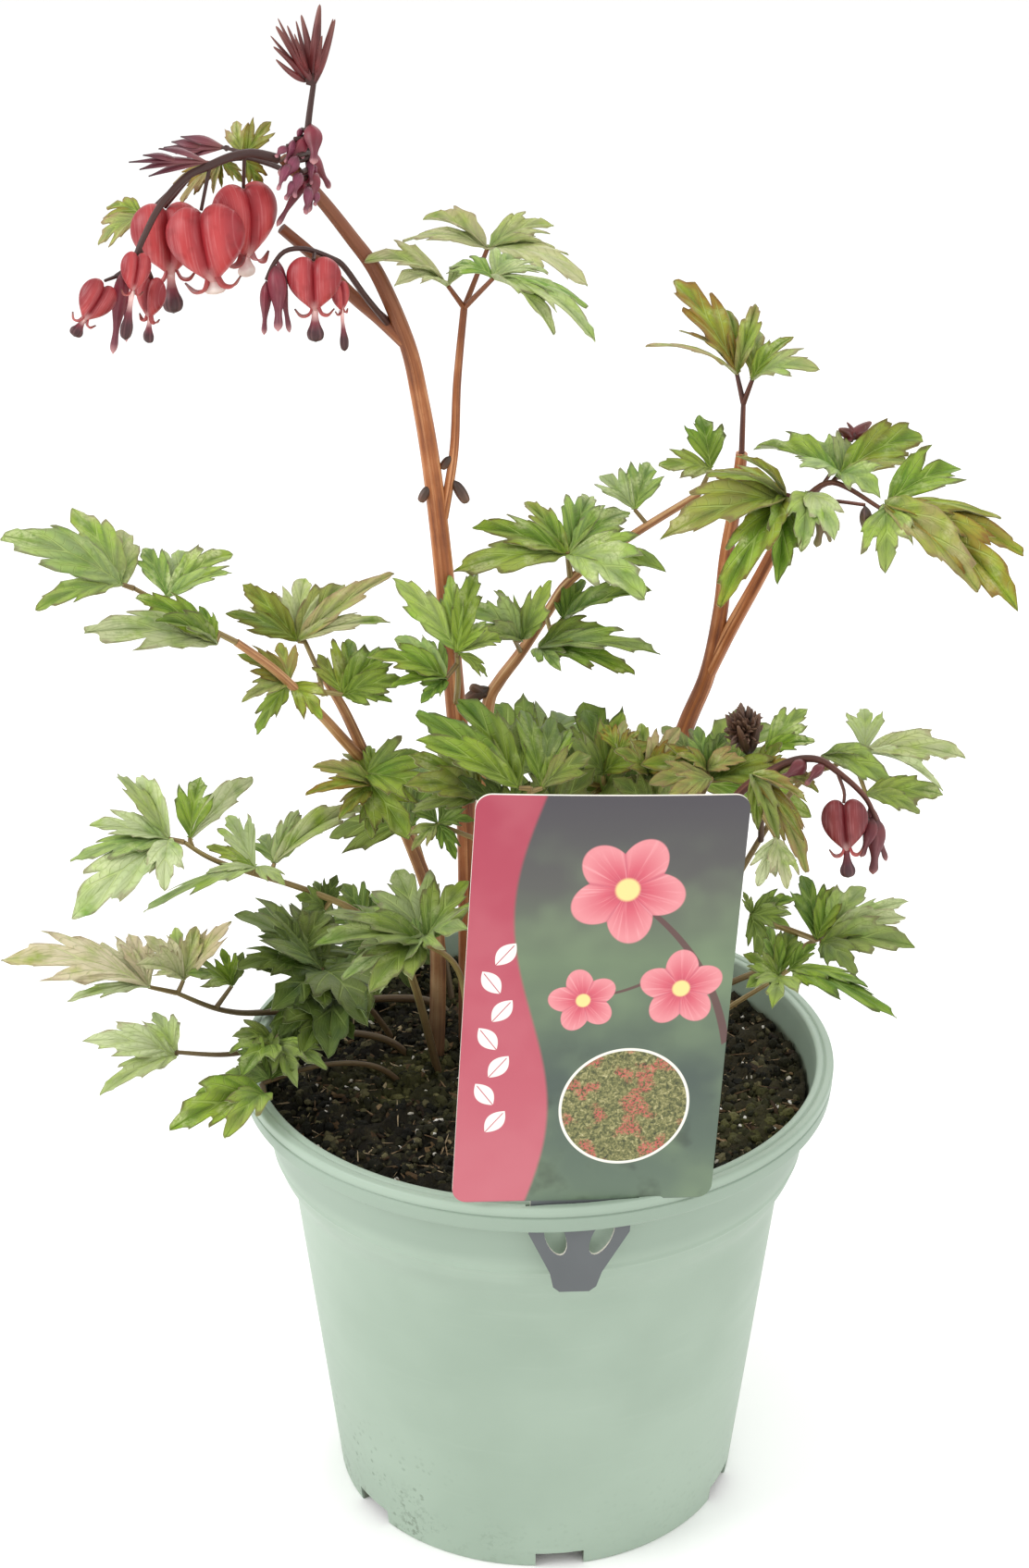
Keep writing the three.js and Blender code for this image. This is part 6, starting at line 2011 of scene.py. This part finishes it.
plant_leaf("leaf_back_left", (10, 0, 70), [
    stem([[-24, 42, 118], [-31, 58, 152], [-38, 68, 176]], 1.5, 0.9),
], {
    (-38, 68, 176): [(-62, 84, 182, 55, PAIR), (-36, 100, 186, 60)],
    (-53, 66, 143): [(-68, 74, 144, 50), (-60, 80, 151, 50), (-45, 80, 146, 50), (-40, 70, 140, 50),
        (-57, 52, 136, 50)],
    (-44, 50, 149): [(-61, 42, 143, 50, 10, 0, 100), (-51, 36, 137, 50, 10, 0, 100),
        (-39, 36, 138, 50, 10, 0, 95), (-65, 52, 148, 50, 10, 0, 90), (-31, 42, 143, 50, 10, 0, 100)],
    (-56, 46, 137): [(-70, 40, 136, 50, 10, 0, 100), (-63, 32, 131, 50, 10, 0, 100),
        (-49, 30, 131, 50, 10, 0, 100), (-68, 50, 142, 50, 10, 0, 90)],
})
plant_leaf("leaf_back", (10, 0, 60), [
    stem([[-6, 43, 118], [-4, 72, 160], [0, 88, 186]], 1.6, 0.9),
], {
    (0, 88, 186): [(-28, 106, 192, 55, PAIR), (26, 112, 190, 55, PAIR)],
})
plant_leaf("leaf_back_right", (10, 0, 50), [
    stem([[22, 40, 118], [38, 64, 160], [48, 78, 186]], 1.6, 0.9),
], {
    (48, 78, 186): [(84, 84, 190, 55, PAIR), (52, 112, 188, 60)],
})
plant_leaf("leaf_flower_stalk", (75, 12, 5), [
    stem([[-61, 8, 386], [-76, 16, 389], [-90, 18, 384], [-102, 16, 374]], 1, 0.6),
], {
    (-76, 16, 389): [(-73, 22, 399, 50, PAIR), (-71, 12, 382, 50)],
    (-82, 17, 388): [(-93, 10, 379, 60), (-84, 12, 381, 50), (-95, 14, 382, 50, 90, 0, 10),
        (-89, 12, 381, 50, 60, 10, 0), (-82, 14, 382, 50, 80, 10, 10), (-76, 16, 383, 45, 90, 10, 10)],
    (-102, 16, 374): [(-115, 14, 368, 50), (-114, 26, 375, 50)],
})

# ---- flower stalks and tufts ----

plant_raceme("raceme_tall", [
    stem([[-66, 5, 391], [-72, 2, 393], [-77, -2, 393], [-83, -5, 391], [-88, -8, 389], [-94, -13, 383],
        [-98, -17, 376], [-101, -19, 370], [-105, -20, 367]], 1.3, 0.6),
    stem([[-74, 0, 393], [-75, 4, 384]], 0.5, 0.45),
    stem([[-82, -5, 392], [-85, -4, 380]], 0.5, 0.45),
    stem([[-87, -8, 389], [-95, 4, 379]], 0.5, 0.45),
    stem([[-99, -18, 374], [-97, -13, 365]], 0.5, 0.45),
    stem([[-73, 1, 393], [-79, 8, 393], [-82, 10, 393]], 0.5, 0.4),
    stem([[-105, -20, 367], [-107, -24, 367]], 0.5, 0.4),
], [
    (-103, -20, 369, -107, -19, 347, 4.2), (-101, -19, 370, -104, -15, 349, 3.4),
    (-79, 9, 393, -96, 14, 392, 6, "bract"), (-82, -4, 392, -101, -14, 394, 5, "bract"),
])
plant_raceme("raceme_branch", [
    stem([[-40, 16, 346], [-45, 8, 355], [-50, 3, 364], [-53, 0, 367], [-59, -3, 370], [-64, -5, 370],
        [-67, -6, 367], [-69, -7, 363]], 0.9, 0.5),
    stem([[-57, -2, 369], [-57, -6, 368]], 0.5, 0.45),
    stem([[-53, 0, 367], [-51, -1, 361]], 0.5, 0.45),
], [
    (-69, -7, 363, -70, -8, 349, 4), (-67, -6, 367, -66, -12, 351, 4.6), (-66, -6, 368, -64, -2, 348, 4),
])
plant_raceme("raceme_far_right", [
    stem([[66, 22, 285], [75, 12, 295], [76, 8, 300], [86, 2, 301]], 0.7, 0.5),
], [
    (76, 8, 300, 74, 5, 288, 4.4, "brown"), (75, 12, 295, 79, 15, 286, 3, "brown"),
    (86, 2, 301, 87, -1, 290, 4.6, "brown"),
])
plant_raceme("tuft_top", [
    stem([[-58, 9, 384], [-59, 10, 395], [-57, 11, 409]], 1.1, 0.7),
], [
    (-57, 11, 408, -55, 12, 428, 2.6), (-57, 11, 408, -51, 8, 425, 2.4), (-57, 11, 408, -60, 15, 425, 2.4),
    (-57, 11, 408, -66, 10, 423, 2.6), (-58, 9, 388, -67, 4, 374, 4), (-58, 9, 388, -59, 1, 378, 4.4),
    (-59, 10, 396, -66, 4, 387, 4.4), (-59, 10, 396, -65, 17, 388, 4), (-59, 10, 392, -54, 17, 381, 4),
    (-58, 10, 399, -57, 3, 390, 4.4), (-62.1, 8, 395.4, -64.1, 2, 390.6, 2.8, "pink"),
    (-59.4, 10, 395.5, -60.2, 6, 390.7, 2.6, "pink"), (-60.9, 4, 392.1, -64.8, -2, 386.8, 3, "pink"),
    (-58.5, 8, 390.3, -57.9, 4, 384.6, 2.8, "pink"), (-63.1, 2, 390.6, -65.4, -6, 385.4, 3, "pink"),
    (-60, 2, 388.3, -61.5, -4, 383.1, 3, "pink"), (-57.6, 8, 388.9, -56.3, 8, 386.1, 2.4, "pink"),
    (-63.8, 6, 394, -66.4, 2, 392, 2.4, "pink"), (-58.4, 4, 384.6, -59, -2, 378.5, 3.4, "pink"),
    (-60.5, 12, 397, -61.6, 8, 395, 2.2, "pink"), (-61.7, 0, 386.4, -63.7, -6, 383.1, 2.8, "pink"),
    (-56.7, 6, 382.8, -57, 2, 379.9, 2.6, "pink"), (-59, 11, 409.6, -66.7, 9, 418.1, 1.8),
    (-58.8, 11, 410.9, -65.8, 14, 424.3, 1.5), (-58.4, 11, 410.5, -62.8, 6, 423.8, 1.8),
    (-57.9, 11, 410.8, -61.5, 17, 423.2, 1.5), (-56.9, 11, 411.5, -55.1, 12, 427.8, 1.8),
    (-56.3, 11, 410.8, -51.5, 8, 425.1, 1.5), (-56.5, 11, 409.9, -53.1, 16, 418.8, 1.8),
    (-59.1, 11, 410.1, -67.6, 12, 420.3, 1.5), (-58.9, 11, 409, -66, 7, 415.3, 1.8),
    (-58, 11, 410.2, -60.9, 4, 422.1, 1.5), (-58.6, 11, 409.4, -64.8, 15, 415.8, 1.8),
    (-56.8, 11, 410.1, -54.1, 5, 421.5, 1.5), (-57.5, 11, 410.4, -59.3, 18, 421.2, 1.8),
])
plant_raceme("tuft_dry", [
    stem([[64, 23, 193], [63, 14, 207], [62, 4, 217], [57.4, -2, 230.9]], 0.9, 0.7),
], [
    (57.4, -2, 230.4, 50.9, 0, 241.9, 3), (57.4, -2, 230.4, 54.9, 0, 245.4, 3),
    (57.4, -2, 230.4, 59.9, -3, 243.4, 3), (57.4, -2, 230.4, 53.9, -7, 241.4, 3),
], {"middle": [55.9, -2, 238.9], "radius": 6.6, "count": 120})
plant_raceme("tuft_red", [
    stem([[66, 22, 285], [73, 34, 289], [81, 42, 297], [86, 42, 308]], 0.6, 0.5),
], [
    (86, 42, 307, 97, 40, 309, 3), (86, 42, 307, 92, 46, 310.5, 3), (86, 42, 307, 82, 36, 311.5, 3),
    (87.3, 41, 307.2, 82, 40, 309.6, 1.8), (87.4, 42, 307.4, 84.9, 44, 311, 1.8),
    (86.7, 42, 306.3, 80.3, 40, 307.5, 1.8), (87.8, 43, 307.1, 90.3, 44, 310, 1.8),
    (87.2, 42, 306.9, 90.7, 38, 309.7, 1.8), (86.6, 42, 307.4, 81.8, 36, 306.6, 1.8),
])

# ---- open flowers ----

# Where each hangs, its lower tip, its width and its turn; then the heart's share of the way down, how deep
# its colour is from 0 to 1, and how much wider than its outline it is made.

bloom("bloom_left", [-95, 4, 379], [-94, 2, 352], 17, 12, 0.62, 0.05, 1.1)
bloom("bloom_front", [-85, -4, 380], [-82, -6, 359], 19, -8, 0.84, 0.0, 1.08)
bloom("bloom_right", [-75, 4, 384], [-75, 4, 361], 16, 35, 0.76, 0.0, 1.15)
bloom("bloom_long", [-99, -21, 373], [-103, -24, 352], 7, 20, 0.6, 0.1, 1.1)
bloom("bloom_small", [-97, -13, 365], [-99, -12, 348], 8, -30, 0.6, 0.25, 1.1)
bloom("bloom_end", [-107, -24, 366], [-115, -28, 354], 8.5, 15, 0.66, 0.25, 1.1)
bloom("bloom_branch", [-57, -6, 368], [-57, -7, 347], 12.5, 0, 0.6, 0.15, 1.12)
bloom("bloom_branch_long", [-51, -1, 361], [-50, -1, 343], 5, 40, 0.6, 0.1, 1.1)
bloom("bloom_low", [80, -36, 232], [82, -38, 211], 12.3, -6, 0.62, 0.58, 1.0)
